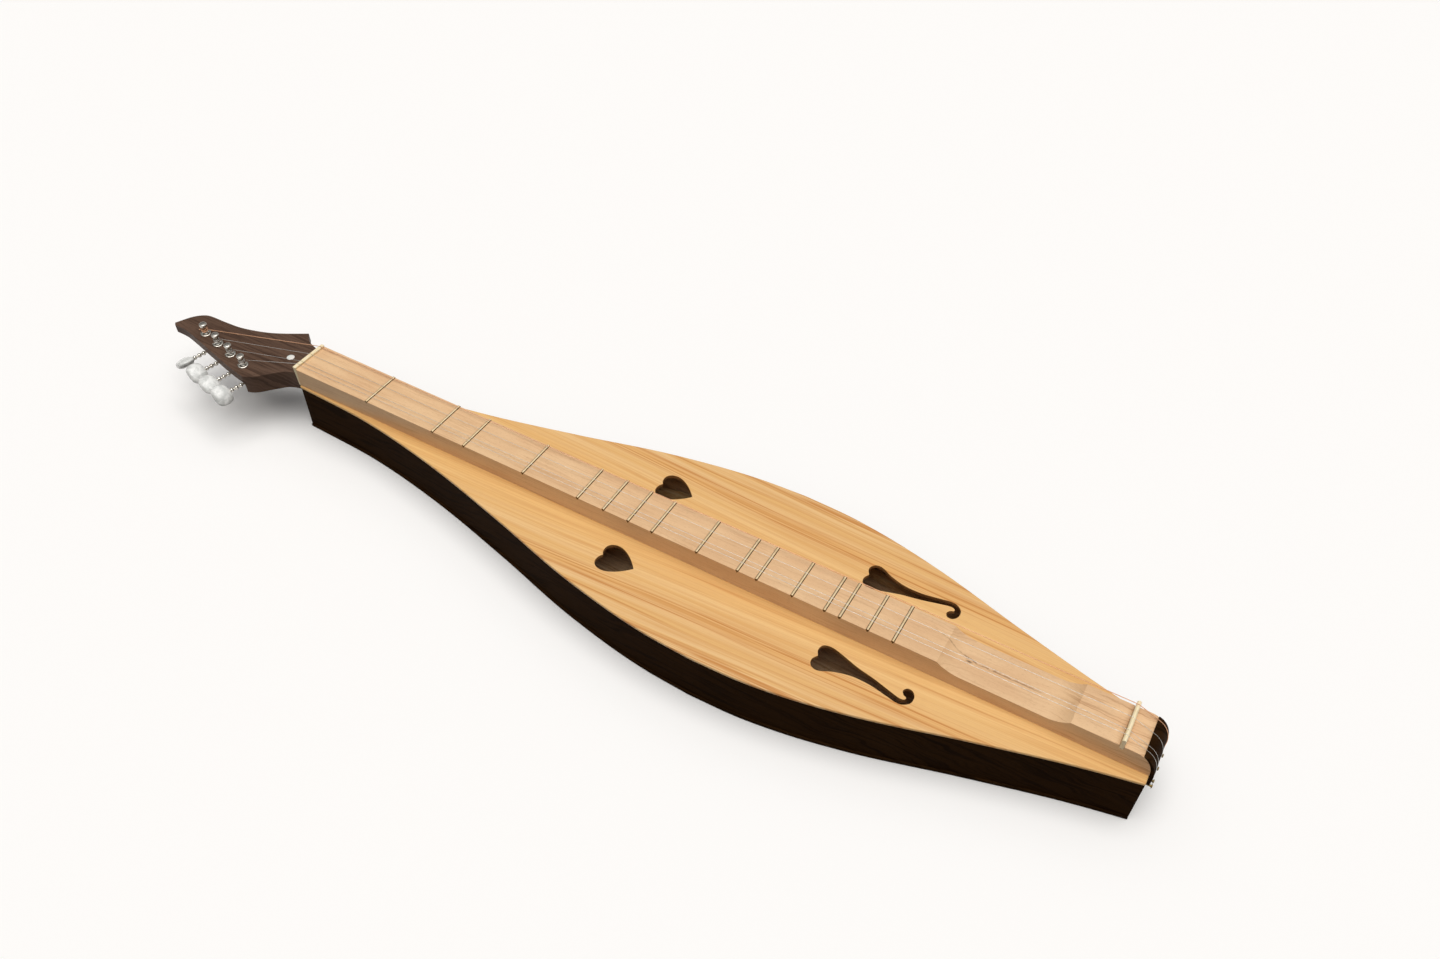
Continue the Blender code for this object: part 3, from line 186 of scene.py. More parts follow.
WORM_OFFSET = 0.0062
WORM_RADIUS = 0.0017
WORM_PITCH = 2 * pi * 0.0040 / 14
WORM_TURNS = 3
EAR_INNER = 0.0040929
EAR_THICKNESS = 0.0010
EAR_HALF_WIDTH = 0.0025
GEAR_TEETH = 14
GEAR_RADIUS = 0.0040
GEAR_HALF_THICKNESS = 0.0010
TOOTH_HALF_HEIGHT = 0.0004
SPIGOT_HALF = 0.0017
GEAR_SCREW_RADIUS = 0.0028
GEAR_SCREW_TOP = WORM_AXIS_Z + 0.004
SHAFT_RADIUS = 0.00125
SHAFT_SIDES = 28
COLLAR_RADIUS = 0.0019
COLLAR_START = EAR_INNER + EAR_THICKNESS + 0.0003
COLLAR_END = COLLAR_START + 0.0008
COLLAR_EDGE = 0.00015
BEAD_COUNT = 3
BEAD_RADIUS = 0.0020
BEAD_NECK_RADIUS = 0.8 * SHAFT_RADIUS
BEAD_STEPS = 12
BEAD_PITCH = 0.0044
FIRST_BEAD = 0.0100
BUTTON_START = 0.0208
LAST_NECK = BUTTON_START - 0.0006
SHAFT_IN_BUTTON = 0.0077
BUTTON_LENGTH = 0.0149
BUTTON_WIDTH = 0.0196
BUTTON_THICKNESS = 0.0086
BUTTON_TILTS = (34, -30, -19, -34)
WINDING_TURNS = 3
WINDING_SPACE = 0.00045
WINDING_ROOM = 0.0003

# Hitch pins
PIN_RADIUS = 0.0008
PIN_PROFILE = ((PIN_RADIUS, -0.008), (PIN_RADIUS, 0.0046), (0.0015, 0.0047), (0.0015, 0.0051), (0.001275, 0.0053),
               (0.000675, 0.0055))
PIN_ROOM = 0.0003
PIN_Z = 0.033
LOOP_X = TAIL_X + 0.00235

# Floor, light and camera: angles in degrees, lens and sensor in millimetres
FLOOR_REACH = 80
FLOOR_Z = -0.0002
SKYLIGHT_ENERGY = 2.2
SKYLIGHT_SPREAD = 60
SKYLIGHT_LEAN = 6
SKYLIGHT_COLOUR = (1.0, 0.98, 0.95)
EYE_PLACE = Vector((0.33286, -0.51788, 0.74959))
EYE_FORWARD = Vector((-0.3331891, 0.6066578, -0.7217696))
EYE_UP = Vector((-0.3716184, 0.6190470, 0.6918674))
SENSOR_WIDTH = 36.0
LENS = 29.811


# Shapes


def linked(name, data):
    """Makes an object and puts it in the scene."""
    made = bpy.data.objects.new(name, data)
    bpy.context.collection.objects.link(made)
    return made


def mesh_of(points, edges=(), faces=()):
    mesh = bpy.data.meshes.new("points")
    mesh.from_pydata([tuple(point) for point in points], edges, faces)
    return mesh


def meshed(form):
    """Turns a bmesh into a mesh with its faces pointing out."""
    bmesh.ops.recalc_face_normals(form, faces=form.faces)
    mesh = bpy.data.meshes.new("shape")
    form.to_mesh(mesh)
    form.free()
    return mesh


def skinned(rings, round_to_start=False):
    """Joins rings of points into a closed skin."""
    form = bmesh.new()
    rows = [[form.verts.new(point) for point in ring] for ring in rings]
    pairs = list(zip(rows, rows[1:])) + ([(rows[-1], rows[0])] if round_to_start else [])
    for first, second in pairs:
        for i in range(len(first)):
            j = (i + 1) % len(first)
            form.faces.new((first[i], first[j], second[j], second[i]))
    if not round_to_start:
        form.faces.new(rows[0])
        form.faces.new(rows[-1])
    return meshed(form)


def sawn(outline, low, high, along="Z"):
    """Cuts a flat outline out of stock: (x, y) sawn along Z, (x, z) along Y, or (y, z) along X."""
    order = {"Z": (0, 1, 2), "Y": (0, 2, 1), "X": (1, 2, 0)}[along]
    rings = []
    for level in (low, high):
        ring = []
        for a, b in outline:
            values = (a, b, level)
            ring.append([values[order.index(axis)] for axis in range(3)])
        rings.append(ring)
    return skinned(rings)


def block(low, high):
    return sawn(((low[0], low[1]), (high[0], low[1]), (high[0], high[1]), (low[0], high[1])), low[2], high[2])


def lathe(profile, sides=40, hollow=False):
    """Turns a profile of (radius, height) about Z."""
    turns = [2 * pi * i / sides for i in range(sides)]
    rings = [[(radius * cos(a), radius * sin(a), height) for a in turns] for radius, height in profile]
    return skinned(rings, hollow)


def arc(centre, radius, start, end, steps, upright=None):
    """Points from one angle in degrees to another on a circle, or on an ellipse with its own upright radius."""
    turns = [radians(start + (end - start) * i / steps) for i in range(steps + 1)]
    height = upright or radius
    return [(centre[0] + radius * cos(a), centre[1] + height * sin(a)) for a in turns]


def circle(centre, radius, steps):
    return arc(centre, radius, 0, 360, steps)[:-1]


def merged(meshes):
    form = bmesh.new()
    for mesh in meshes:
        form.from_mesh(mesh)
    return meshed(form)


def baked(work):
    """Returns the plain mesh that an object's modifiers make, and removes the object."""
    view = bpy.context.evaluated_depsgraph_get()
    result = bpy.data.meshes.new_from_object(
        work.evaluated_get(view), preserve_all_data_layers=True, depsgraph=view
    )
    bpy.data.objects.remove(work)
    return result


def shaped(mesh, modifier_type, **settings):
    """Runs one modifier on a mesh and returns the result."""
    work = linked("work", mesh)
    modifier = work.modifiers.new("shape", modifier_type)
    for name, value in settings.items():
        setattr(modifier, name, value)
    return baked(work)


def joined(mesh, tool, operation="DIFFERENCE"):
    """Cuts a mesh by a tool, unites them, or keeps what they share."""
    cutter = linked("cutter", tool)
    result = shaped(mesh, "BOOLEAN", operation=operation, solver="EXACT", object=cutter)
    bpy.data.objects.remove(cutter)
    return result


def eased(mesh, width, segments=3, angle=35):
    """Rounds a mesh's sharp edges over and shades its flats flat."""
    mesh.shade_smooth()
    return shaped(
        mesh, "BEVEL", width=width, segments=segments, limit_method="ANGLE", angle_limit=radians(angle),
        harden_normals=True, miter_outer="MITER_ARC",
    )


def smooth(mesh, angle=35):
    mesh.shade_smooth()
    mesh.set_sharp_from_angle(angle=radians(angle))
    return mesh


def level_faces(mesh):
    """Shades a cut board so that its broad faces look flat and only the rounded edges turn."""
    return shaped(smooth(mesh), "WEIGHTED_NORMAL", keep_sharp=True)


def carried(mesh, matrix):
    mesh.transform(matrix)
    return mesh


def hermite(first, second, leaving, arriving, t):
    """A soft blend of two values that keeps a slope at each."""
    return (
        (2 * t**3 - 3 * t**2 + 1) * first + (t**3 - 2 * t**2 + t) * leaving
        + (3 * t**2 - 2 * t**3) * second + (t**3 - t**2) * arriving
    )


def smooth_run(points, steps, closed=False):
    """Runs a smooth curve through points, with the given steps between each two."""
    points = [np.array(point, float) for point in points]
    count = len(points)
    run = []
    for i in range(count if closed else count - 1):
        picks = [(i + k) % count if closed else min(max(i + k, 0), count - 1) for k in (-1, 0, 1, 2)]
        before, first, second, after = (points[pick] for pick in picks)
        slopes = (second - before) / 2, (after - first) / 2
        run += [tuple(hermite(first, second, *slopes, k / steps)) for k in range(steps)]
    return run if closed else run + [tuple(points[-1])]


# The body's outline


def swelling(shares, along):
    way, height = np.array(shares, float).T
    slope = np.gradient(height, way)
    i = int(np.clip(np.searchsorted(way, along) - 1, 0, len(way) - 2))
    span = way[i + 1] - way[i]
    return hermite(height[i], height[i + 1], span * slope[i], span * slope[i + 1], (along - way[i]) / span)


def half_width(x):
    along = x - NUT_X
    if along <= WIDEST_FROM_NUT:
        share, end = swelling(FRONT_SWELL, along / WIDEST_FROM_NUT), HEAD_END_WIDTH
    else:
        share = swelling(TAIL_SWELL, (along - WIDEST_FROM_NUT) / (TAIL_X - NUT_X - WIDEST_FROM_NUT))
        end = TAIL_END_WIDTH
    return (end + (WIDEST_WIDTH - end) * share) / 2


# The saw follows a bent edge in 180 short stretches, so none shows as a flat
STATIONS = np.linspace(NUT_X, TAIL_X, 181)
HALF_WIDTHS = np.array([half_width(x) for x in STATIONS])
SLOPES = np.gradient(HALF_WIDTHS, STATIONS)


def edge_y(x, inset):
    return float(np.interp(x, STATIONS, HALF_WIDTHS - inset * np.hypot(1, SLOPES)))


def edge_run(start, end, inset, side):
    places = [start] + [x for x in STATIONS if start + LEAST_STEP < x < end - LEAST_STEP] + [end]
    return [(x, side * edge_y(x, inset)) for x in places]


def heart_outline():
    """Half the heart is three soft curves; the other half mirrors it."""
    half = HEART_WIDTH / 2
    length = HEART_LENGTH
    spans = (
        ((0.08 * length, 0), (0.03 * length, 0.09 * half), (0, 0.25 * half), (0, 0.46 * half)),
        ((0, 0.46 * half), (0, 0.78 * half), (0.12 * length, half), (0.29 * length, half)),
        ((0.29 * length, half), (0.54 * length, half), (0.83 * length, 0.45 * half), (length, 0)),
    )
    upper = []
    for span in spans:
        corners = [Vector((*corner, 0)) for corner in span]
        upper += [(point.x, point.y) for point in interpolate_bezier(*corners, 15)[:-1]]
    return upper + [(length, 0)] + [(x, -y) for x, y in upper[1:][::-1]]


# Finishes


def paint(code):
    """Turns an sRGB hex colour to the linear values that a shader takes."""
    levels = [int(code[i : i + 2], 16) / 255 for i in (1, 3, 5)]
    return (*[v / 12.92 if v <= 0.04045 else ((v + 0.055) / 1.055) ** 2.4 for v in levels], 1.0)


def fill(tree, node, inputs):
    """Fills inputs, named or in order: with a value, an sRGB hex colour, a socket, or a node's first output."""
    for name, value in inputs.items() if isinstance(inputs, dict) else enumerate(inputs):
        if isinstance(value, bpy.types.Node):
            value = value.outputs[0]
        if isinstance(value, bpy.types.NodeSocket):
            tree.links.new(value, node.inputs[name])
        else:
            node.inputs[name].default_value = paint(value) if str(value).startswith("#") else value


def add(tree, kind, inputs=(), **settings):
    """Adds one node with its settings, values and links."""
    node = tree.nodes.new(kind if kind.startswith("Geometry") else "ShaderNode" + kind)
    for name, value in settings.items():
        setattr(node, name, value)
    fill(tree, node, inputs)
    return node


def new_finish(name, **shader_values):
    """Starts a material with its shader's plain values; gives its tree and its place in object coordinates too."""
    material = bpy.data.materials.new(name)
    material.use_nodes = True
    tree = material.node_tree
    values = {socket.replace("_", " "): value for socket, value in shader_values.items()}
    fill(tree, tree.nodes["Principled BSDF"], values)
    return material, tree, add(tree, "TexCoord").outputs["Object"]


def figure(tree, place, spacing, low, high, least=0.0, most=1.0, detail=2.0):
    """Natural variation, its features a spacing in metres apart along each axis, as a share from low to high."""
    stretched = add(tree, "Mapping", {0: place, 3: [1 / gap for gap in spacing]})
    noise = add(tree, "TexNoise", {"Vector": stretched, "Scale": 1.0, "Detail": detail})
    return add(tree, "MapRange", (noise, low, high, least, most), interpolation_type="SMOOTHSTEP")


def soft_band(tree, value, middle, reach, strength):
    """Rises to a strength where a value is at the middle of a band, and falls to nothing at its edges."""
    away = add(tree, "Math", (value, middle), operation="SUBTRACT")
    far = add(tree, "Math", (away,), operation="ABSOLUTE")
    return add(tree, "MapRange", (far, 0.0, reach, strength, 0.0), interpolation_type="SMOOTHSTEP")


def surface(tree, base, layers, grain=None, relief=(0.0, 0.0), sunk=False, **others):
    """Lays colours over a base, each by its share, and gives the grain its relief: a strength and a depth."""
    colour = base
    for share, over in layers:
        colour = add(tree, "Mix", {0: share, 6: colour, 7: over}, data_type="RGBA").outputs[2]
    shader = tree.nodes["Principled BSDF"]
    fill(tree, shader, {"Base Color": colour, **others})
    if grain is not None:
        bump = add(tree, "Bump", {"Strength": relief[0], "Distance": relief[1], "Height": grain}, invert=sunk)
        fill(tree, shader, {"Normal": bump})


def soundboard_softwood():
    """Quarter-sawn softwood under satin lacquer: golden, with thin orange-brown growth lines gathered in bands."""
    material, tree, place = new_finish("lacquered_softwood")
    axes = add(tree, "SeparateXYZ", (place,))
    # Book-matched halves: the figure is the same on both sides of the seam
    across = add(tree, "Math", (axes.outputs[1],), operation="ABSOLUTE")
    # Towards the tail the lines close in on the seam, 4.5 mm in each 100 mm
    lean = add(tree, "Math", (axes, 0.045, across), operation="MULTIPLY_ADD")
    drift = figure(tree, add(tree, "CombineXYZ", (axes, lean)), (0.29, 0.04, 1), 0.1, 0.9, -0.003, 0.003, 1.0)
    layer = add(tree, "Math", (drift, lean), operation="ADD")
    wood = add(tree, "CombineXYZ", (axes, layer))
    # Growth lines 1.2 mm and 3.6 mm apart, each fading out over some 150 mm of its length
    fine = figure(tree, wood, (0.150, 0.0012, 1), 0.44, 0.64, detail=1.0)
    bold = figure(tree, wood, (0.190, 0.0036, 1), 0.46, 0.60, 0.0, 0.9, 2.5)
    gathered = 0.2
    for middle, reach, strength in (
        (0.0600, 0.0055, 0.85), (0.0665, 0.0045, 0.75), (0.0765, 0.0035, 0.5), (0.0905, 0.0090, 0.9),
        (0.0400, 0.0050, 0.38), (0.0290, 0.0035, 0.38),
    ):
        band = soft_band(tree, layer, middle, reach, strength)
        gathered = add(tree, "Math", (band, gathered), operation="MAXIMUM")
    lines = add(tree, "Math", (bold, fine), operation="ADD")
    streak = add(tree, "Math", (lines, gathered), operation="MULTIPLY", use_clamp=True)
    # Bands of wood some 8 mm wide, paler and deeper
    deeper = figure(tree, wood, (0.65, 0.008, 1), 0.32, 0.68)
    outward = add(tree, "MapRange", (across, 0.028, 0.062))
    # Fibres 0.25 mm wide and 6 mm long
    fibre = figure(tree, wood, (0.006, 0.00025, 1), 0.35, 0.75, 0.0, 0.2, 3.0)
    layers = (
        (outward, "#ebc38b"), (deeper, "#e4b470"), (soft_band(tree, layer, 0.063, 0.010, 0.5), "#e0a862"),
        (streak, "#c6853f"), (fibre, "#cf995c"),
    )
    rough = add(tree, "MapRange", {0: fine, 3: 0.42, 4: 0.50})
    surface(tree, "#ecc07d", layers, fine, (0.25, 0.00006), Roughness=rough)
    return material


def fretboard_hardwood():
    """Oiled pale hardwood sawn on the slant: pinkish tan, its broken lines bending where the hollow cuts them."""
    material, tree, place = new_finish("oiled_pale_hardwood", Roughness=0.5)
    axes = add(tree, "SeparateXYZ", (place,))
    # Growth layers lean at about 50 degrees across the bar, waver by 5 mm, and tremble by 1 mm
    slanted = add(tree, "Math", (axes.outputs[2], 1.3, axes.outputs[1]), operation="MULTIPLY_ADD")
    waver = figure(tree, place, (0.080, 0.020, 0.020), 0.1, 0.9, 0.0, 0.005)
    tremble = figure(tree, place, (0.006, 0.0033, 0.0033), 0.1, 0.9, 0.0, 0.0012)
    wavered = add(tree, "Math", (slanted, waver), operation="ADD")
    layer = add(tree, "Math", (wavered, tremble), operation="ADD")
    wood = add(tree, "CombineXYZ", (axes, layer))
    # Layers 1.6 mm apart, each line breaking off after some 45 mm
    line = figure(tree, wood, (0.045, 0.0016, 1), 0.50, 0.70, 0.0, 0.26, 1.5)
    # Past the hollow they show twice as strong
    stronger = add(tree, "MapRange", (axes, 0.318, 0.334, 1.0, 2.4))
    line = add(tree, "Math", (line, stronger), operation="MULTIPLY")
    cloud = figure(tree, place, (0.050, 0.012, 0.012), 0.35, 0.65, detail=3.0)
    # Pores: dashes 0.3 mm wide and 3 mm long
    pore = figure(tree, wood, (0.003, 0.0003, 1), 0.56, 0.70, 0.0, 0.34)
    # One dark mineral line runs down the strum hollow's floor, thick at its knot and broken after it
    pull = add(tree, "MapRange", (axes, 0.226, 0.258, 0.0068, -0.0008))
    wriggled = add(tree, "Math", (tremble, -1.5, axes.outputs[1]), operation="MULTIPLY_ADD")
    beside = add(tree, "Math", (wriggled, pull), operation="SUBTRACT")
    mineral = soft_band(tree, beside, -0.0007, 0.0011, 0.7)
    for share in (
        add(tree, "MapRange", (tremble, 0.00045, 0.00065, 0.35, 1.0)),
        add(tree, "Math", (soft_band(tree, axes, 0.268, 0.062, 1.6), 1.0), operation="MINIMUM"),
    ):
        mineral = add(tree, "Math", (mineral, share), operation="MULTIPLY")
    knot = add(
        tree, "Math",
        (soft_band(tree, axes, 0.253, 0.0035, 0.95), soft_band(tree, axes.outputs[1], -0.0015, 0.0014, 1.0)),
        operation="MULTIPLY",
    )
    layers = ((cloud, "#dfb588"), (line, "#b48256"), (pore, "#a87a50"), (mineral, "#7a5437"), (knot, "#5f3f28"))
    surface(tree, "#e7c093", layers, pore, (0.3, 0.00006), sunk=True)
    return material


def walnut(name, pale, deep, line_colour, pore_colour, roughness, gloss):
    """Walnut, sanded, then oiled or left bare: wavy darker lines, and open pores along the grain."""
    material, tree, place = new_finish(name, Roughness=roughness, Specular_IOR_Level=gloss)
    axes = add(tree, "SeparateXYZ", (place,))
    drift = figure(tree, place, (0.140, 0.022, 0.022), 0.1, 0.9, detail=3.0)
    slanted = add(tree, "Math", (axes.outputs[2], 0.8, axes.outputs[1]), operation="MULTIPLY_ADD")
    layer = add(tree, "Math", (drift, 0.012, slanted), operation="MULTIPLY_ADD")
    # Layers 2.5 mm apart, each line fading over some 60 mm
    line = figure(tree, add(tree, "CombineXYZ", (axes, layer)), (0.060, 0.0025, 1), 0.42, 0.68, detail=3.0)
    # Pores: dashes 0.28 mm wide and 4 mm long
    pore = figure(tree, place, (0.004, 0.00028, 0.00028), 0.58, 0.70, 0.0, 0.75)
    layers = ((drift, deep), (line, line_colour), (pore, pore_colour))
    surface(tree, pale, layers, pore, (0.4, 0.0001), sunk=True)
    return material


def two_tone(name, pale, deep, spacing, ends, detail, relief=(0.0, 0.0), sunk=False, shine=None, **shader_values):
    """Two colours that run into one another; the relief and the range of roughness, if any, follow them."""
    material, tree, place = new_finish(name, **shader_values)
    share = figure(tree, place, spacing, *ends, detail=detail)
    others = {"Roughness": add(tree, "MapRange", {0: share, 3: shine[0], 4: shine[1]})} if shine else {}
    surface(tree, pale, ((share, deep),), share if relief[0] else None, relief, sunk, **others)
    return material


def metal(name, bright, dull, low, high, spacing):
    """A worked metal: its colour and shine vary a little, as handling and polishing leave them."""
    return two_tone(name, bright, dull, (spacing,) * 3, (0.32, 0.70), 4.0, shine=(low, high), Metallic=1.0)


def fret_metal():
    """Drawn nickel silver, its crown bright; its feet painted dark, as painted shade and a painted dark reflection.
    """
    material = metal("nickel_silver_frets", "#f8e2bb", "#ead0a3", 0.38, 0.46, 0.006)
    tree = material.node_tree
    height = add(tree, "SeparateXYZ", (add(tree, "TexCoord").outputs["Object"],)).outputs[2]
    ends = BOARD_TOP + 0.62 * FRET_HEIGHT, BOARD_TOP + 0.90 * FRET_HEIGHT
    # Painted shade: the fret darkens from its crown down to its feet, standing for shade and a dark reflection there
    above_painted_shade = add(tree, "MapRange", (height, *ends), interpolation_type="SMOOTHSTEP")
    crown = tree.nodes["Principled BSDF"].inputs["Base Color"].links[0].from_socket
    surface(tree, "#6b5432", ((above_painted_shade, crown),))
    return material


def copper_wound_wire():
    """Fine copper-coloured wire wound on steel, ridged across the string; each ridge's crest is a painted highlight.
    """
    material, tree, place = new_finish("copper_wound_wire", Metallic=1.0, Roughness=0.42)
    # Real ridges are 0.15 mm apart, too fine to show: these are 0.3 mm
    waves = add(tree, "TexWave", {"Vector": place, "Scale": 2 * pi / 20 / 0.0003}, bands_direction="X")
    ridges_and_highlight = waves.outputs[1]
    # Painted highlight: each ridge's crest is painted lighter than the copper between
    surface(tree, "#c98d66", ((ridges_and_highlight, "#f2c4a0"),), ridges_and_highlight, (0.5, 0.00005))
    return material


def pearl_plastic():
    """Pearloid: clear plastic with silvery platelets, moulded, so swirls of white and pale grey move through it."""
    material, tree, place = new_finish(
        "pearloid", Roughness=0.14, Subsurface_Weight=0.25, Subsurface_Radius=(0.004, 0.004, 0.004), Coat_Weight=0.4,
        Coat_Roughness=0.05,
    )
    # Swirls 5 mm across, bent by larger ones
    bend = add(tree, "TexNoise", {"Vector": place, "Scale": 160.0, "Detail": 2.0}).outputs[1]
    pull = add(tree, "VectorMath", {0: bend, "Scale": 0.006}, operation="SCALE")
    bent = add(tree, "VectorMath", (place, pull), operation="ADD")
    swirl = figure(tree, bent, (0.0048, 0.0048, 0.0048), 0.35, 0.65, detail=2.5)
    surface(tree, "#cfd0cd", ((swirl, "#efefec"),))
    return material


SOFTWOOD = soundboard_softwood()
HARDWOOD = fretboard_hardwood()
# Sanded and oiled walnut, painted almost black, darker than the wood itself, as shade on the body: hardly any shine
BODY_WALNUT_PAINTED_SHADE = walnut("walnut_body_painted_shade", "#362210", "#291809", "#1c0f05", "#0f0702", 0.6, 0.01)
# The same wood, painted lighter and greyer than the body's, as painted light and sheen on the head
HEAD_WALNUT_PAINTED_LIGHT = walnut("walnut_head_painted_light", "#685041", "#543e31", "#432f23", "#21150d", 0.5, 0.15)
# Sanded and left without finish inside the body: dull, and painted far paler than the wood, as painted light inside
BARE_WALNUT_PAINTED_LIGHT = walnut("bare_walnut_painted_light", "#dfc09a", "#cdab83", "#b38d66", "#866648", 0.8, 0.2)
# Softwood a little darker and browner than the board, on the walls of the sound holes
HOLE_WALL_BROWN = walnut("darker_softwood_hole_wall", "#b07f4c", "#9b6d3f", "#865c33", "#6b4726", 0.7, 0.1)
# Unfinished spruce of the inside framing, planed: pale, with growth lines 1.1 mm apart, and dull
SPRUCE = two_tone(
    "bare_spruce", "#e2c595", "#cda268", (0.050, 0.0011, 0.0011), (0.3, 0.7), 2.0, relief=(0.3, 0.0001),
    Roughness=0.75,
)
# Cattle bone, sawn and polished: cream, with faint tan streaks 6 mm long across the instrument
BONE = two_tone(
    "polished_bone", "#fbebc6", "#edd6a6", (0.0007, 0.006, 0.0011), (0.35, 0.75), 3.0, relief=(0.15, 0.00005),
    sunk=True, Roughness=0.32, Subsurface_Weight=0.08, Subsurface_Radius=(0.002, 0.0015, 0.001),
)
# Plated, then buffed: nearly a mirror
NICKEL = metal("bright_nickel", "#d8d4cc", "#bdb7ad", 0.07, 0.18, 0.004)
FRET_METAL = fret_metal()
# Cut and left as cut: yellow, half dull
BRASS = metal("cut_brass", "#d2b168", "#a98542", 0.22, 0.40, 0.002)
# Years of air: brown and dull
AGED_BRASS = metal("aged_brass", "#8a7548", "#5f4f31", 0.35, 0.50, 0.001)
# Drawn through a die: pale grey and half dull
STEEL = metal("drawn_steel", "#dad9d5", "#bebcb7", 0.36, 0.48, 0.0015)
COPPER = copper_wound_wire()
PEARL = pearl_plastic()
# Mother of pearl cut from shell and rubbed flush: white with faint pink and green layers
SHELL = two_tone(
    "mother_of_pearl", "#f8ece6", "#dde8e2", (0.0024, 0.0012, 0.0024), (0.3, 0.7), 3.0, Roughness=0.16,
    Coat_Weight=0.3,
)


# Pieces


def fit_piece(name, mesh, finish, slot, *nodes, body="instrument"):
    """Puts one finished piece in place: what it rides on, and the CAD nodes that it stands for; its slot is not
    used.
    """
    mesh.materials.clear()
    mesh.materials.append(finish)
    piece = linked(name, mesh)
    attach(piece, body)
    if nodes:
        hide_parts(*nodes)
    return piece


def tree_result(name, tree, mesh, values):
    """Runs a tree of Geometry Nodes on a mesh and returns the plain mesh that it makes."""
    work = linked(name, mesh)
    modifier = work.modifiers.new("shape", "NODES")
    modifier.node_group = tree
    for socket in tree.interface.items_tree:
        if socket.name in values:
            modifier[socket.identifier] = values[socket.name]
    return baked(work)


def start_tree(name, sockets):
    """Starts a tree with named inputs and returns it with its input and output nodes."""
    tree = bpy.data.node_groups.new(name, "GeometryNodeTree")
    tree.interface.new_socket("Geometry", in_out="INPUT", socket_type="NodeSocketGeometry")
    for socket, kind in sockets.items():
        tree.interface.new_socket(socket, in_out="INPUT", socket_type="NodeSocket" + kind)
    tree.interface.new_socket("Geometry", in_out="OUTPUT", socket_type="NodeSocketGeometry")
    return tree, tree.nodes.new("NodeGroupInput"), tree.nodes.new("NodeGroupOutput")


def end_tree(tree, end, geometry, finish):
    """Ends a tree in real geometry with its material."""
    real = add(tree, "GeometryNodeRealizeInstances", (geometry,))
    finished = add(tree, "GeometryNodeSetMaterial", {0: real, "Material": finish})
    fill(tree, end, (finished,))
    return tree


def fret_tree():
    """Frets along the equal-tempered scale: each point says how many semitones its fret stands above the nut."""
    sizes = ("Scale Length", "Nut Place", "Board Top", "Board Width", "Crown Width", "Crown Height",
             "Tang Width", "Tang Depth")
    tree, start, end = start_tree("frets_on_the_scale", {**dict.fromkeys(sizes, "Float"), "Finish": "Material"})
    given = start.outputs
    steps = add(tree, "GeometryNodeInputNamedAttribute", {"Name": "semitones"}, data_type="FLOAT").outputs[0]
    octaves = add(tree, "Math", (steps, -12.0), operation="DIVIDE")
    left = add(tree, "Math", (2.0, octaves), operation="POWER")
    past = add(tree, "Math", (1.0, left), operation="SUBTRACT")
    along = add(tree, "Math", (past, given["Scale Length"], given["Nut Place"]), operation="MULTIPLY_ADD")
    spot = add(tree, "CombineXYZ", {"X": along, "Z": given["Board Top"]})
    placed = add(tree, "GeometryNodeSetPosition", {"Geometry": given["Geometry"], "Position": spot})
    # A round rod one board wide, flattened to the crown
    line = add(tree, "GeometryNodeCurvePrimitiveLine", {"Start": (0, -0.5, 0), "End": (0, 0.5, 0)})
    ring = add(tree, "GeometryNodeCurvePrimitiveCircle", {"Resolution": 28, "Radius": 1.0})
    rod = add(tree, "GeometryNodeCurveToMesh", {0: line, 1: ring, "Fill Caps": True})
    half_crown = add(tree, "Math", (given["Crown Width"], 0.5), operation="MULTIPLY")
    size = add(tree, "CombineXYZ", (half_crown, given["Board Width"], given["Crown Height"]))
    crowned = add(tree, "GeometryNodeTransform", {"Geometry": rod, "Scale": size})
    # The tang below the crown fills its saw slot and shows at the board's side
    tang_size = add(tree, "CombineXYZ", (given["Tang Width"], given["Board Width"], given["Tang Depth"]))
    tang = add(tree, "GeometryNodeMeshCube", {"Size": tang_size})
    half_deep = add(tree, "Math", (given["Tang Depth"], -0.5), operation="MULTIPLY")
    under = add(tree, "CombineXYZ", {"Z": half_deep})
    set_tang = add(tree, "GeometryNodeTransform", {"Geometry": tang, "Translation": under})
    fret = add(tree, "GeometryNodeJoinGeometry", (crowned,))
    fill(tree, fret, (set_tang,))
    frets = add(tree, "GeometryNodeInstanceOnPoints", {"Points": placed, "Instance": fret})
    return end_tree(tree, end, frets, given["Finish"])


def wire_tree():
    """A round wire along the edges of a mesh."""
    tree, start, end = start_tree("wire", {"Diameter": "Float", "Sides": "Int", "Finish": "Material"})
    given = start.outputs
    path = add(tree, "GeometryNodeMeshToCurve", (given["Geometry"],))
    radius = add(tree, "Math", (given["Diameter"], 0.5), operation="MULTIPLY")
    ring = add(tree, "GeometryNodeCurvePrimitiveCircle", {"Resolution": given["Sides"], "Radius": radius})
    wire = add(tree, "GeometryNodeCurveToMesh", {0: path, 1: ring, "Fill Caps": True})
    return end_tree(tree, end, wire, given["Finish"])


def row_tree():
    """One small fitting repeated at each point of a mesh, turned to lean its own way."""
    tree, start, end = start_tree(
        "row_of_fittings", {"Fitting": "Object", "Lean": "Rotation", "Size": "Float", "Finish": "Material"}
    )
    given = start.outputs
    fitting = add(tree, "GeometryNodeObjectInfo", (given["Fitting"],)).outputs["Geometry"]
    row = add(
        tree, "GeometryNodeInstanceOnPoints",
        {"Points": given["Geometry"], "Instance": fitting, "Rotation": given["Lean"], "Scale": given["Size"]},
    )
    return end_tree(tree, end, row, given["Finish"])


FRET_TREE = fret_tree()
WIRE_TREE = wire_tree()
ROW_TREE = row_tree()


def path_mesh(points):
    return mesh_of(points, [(i, i + 1) for i in range(len(points) - 1)])


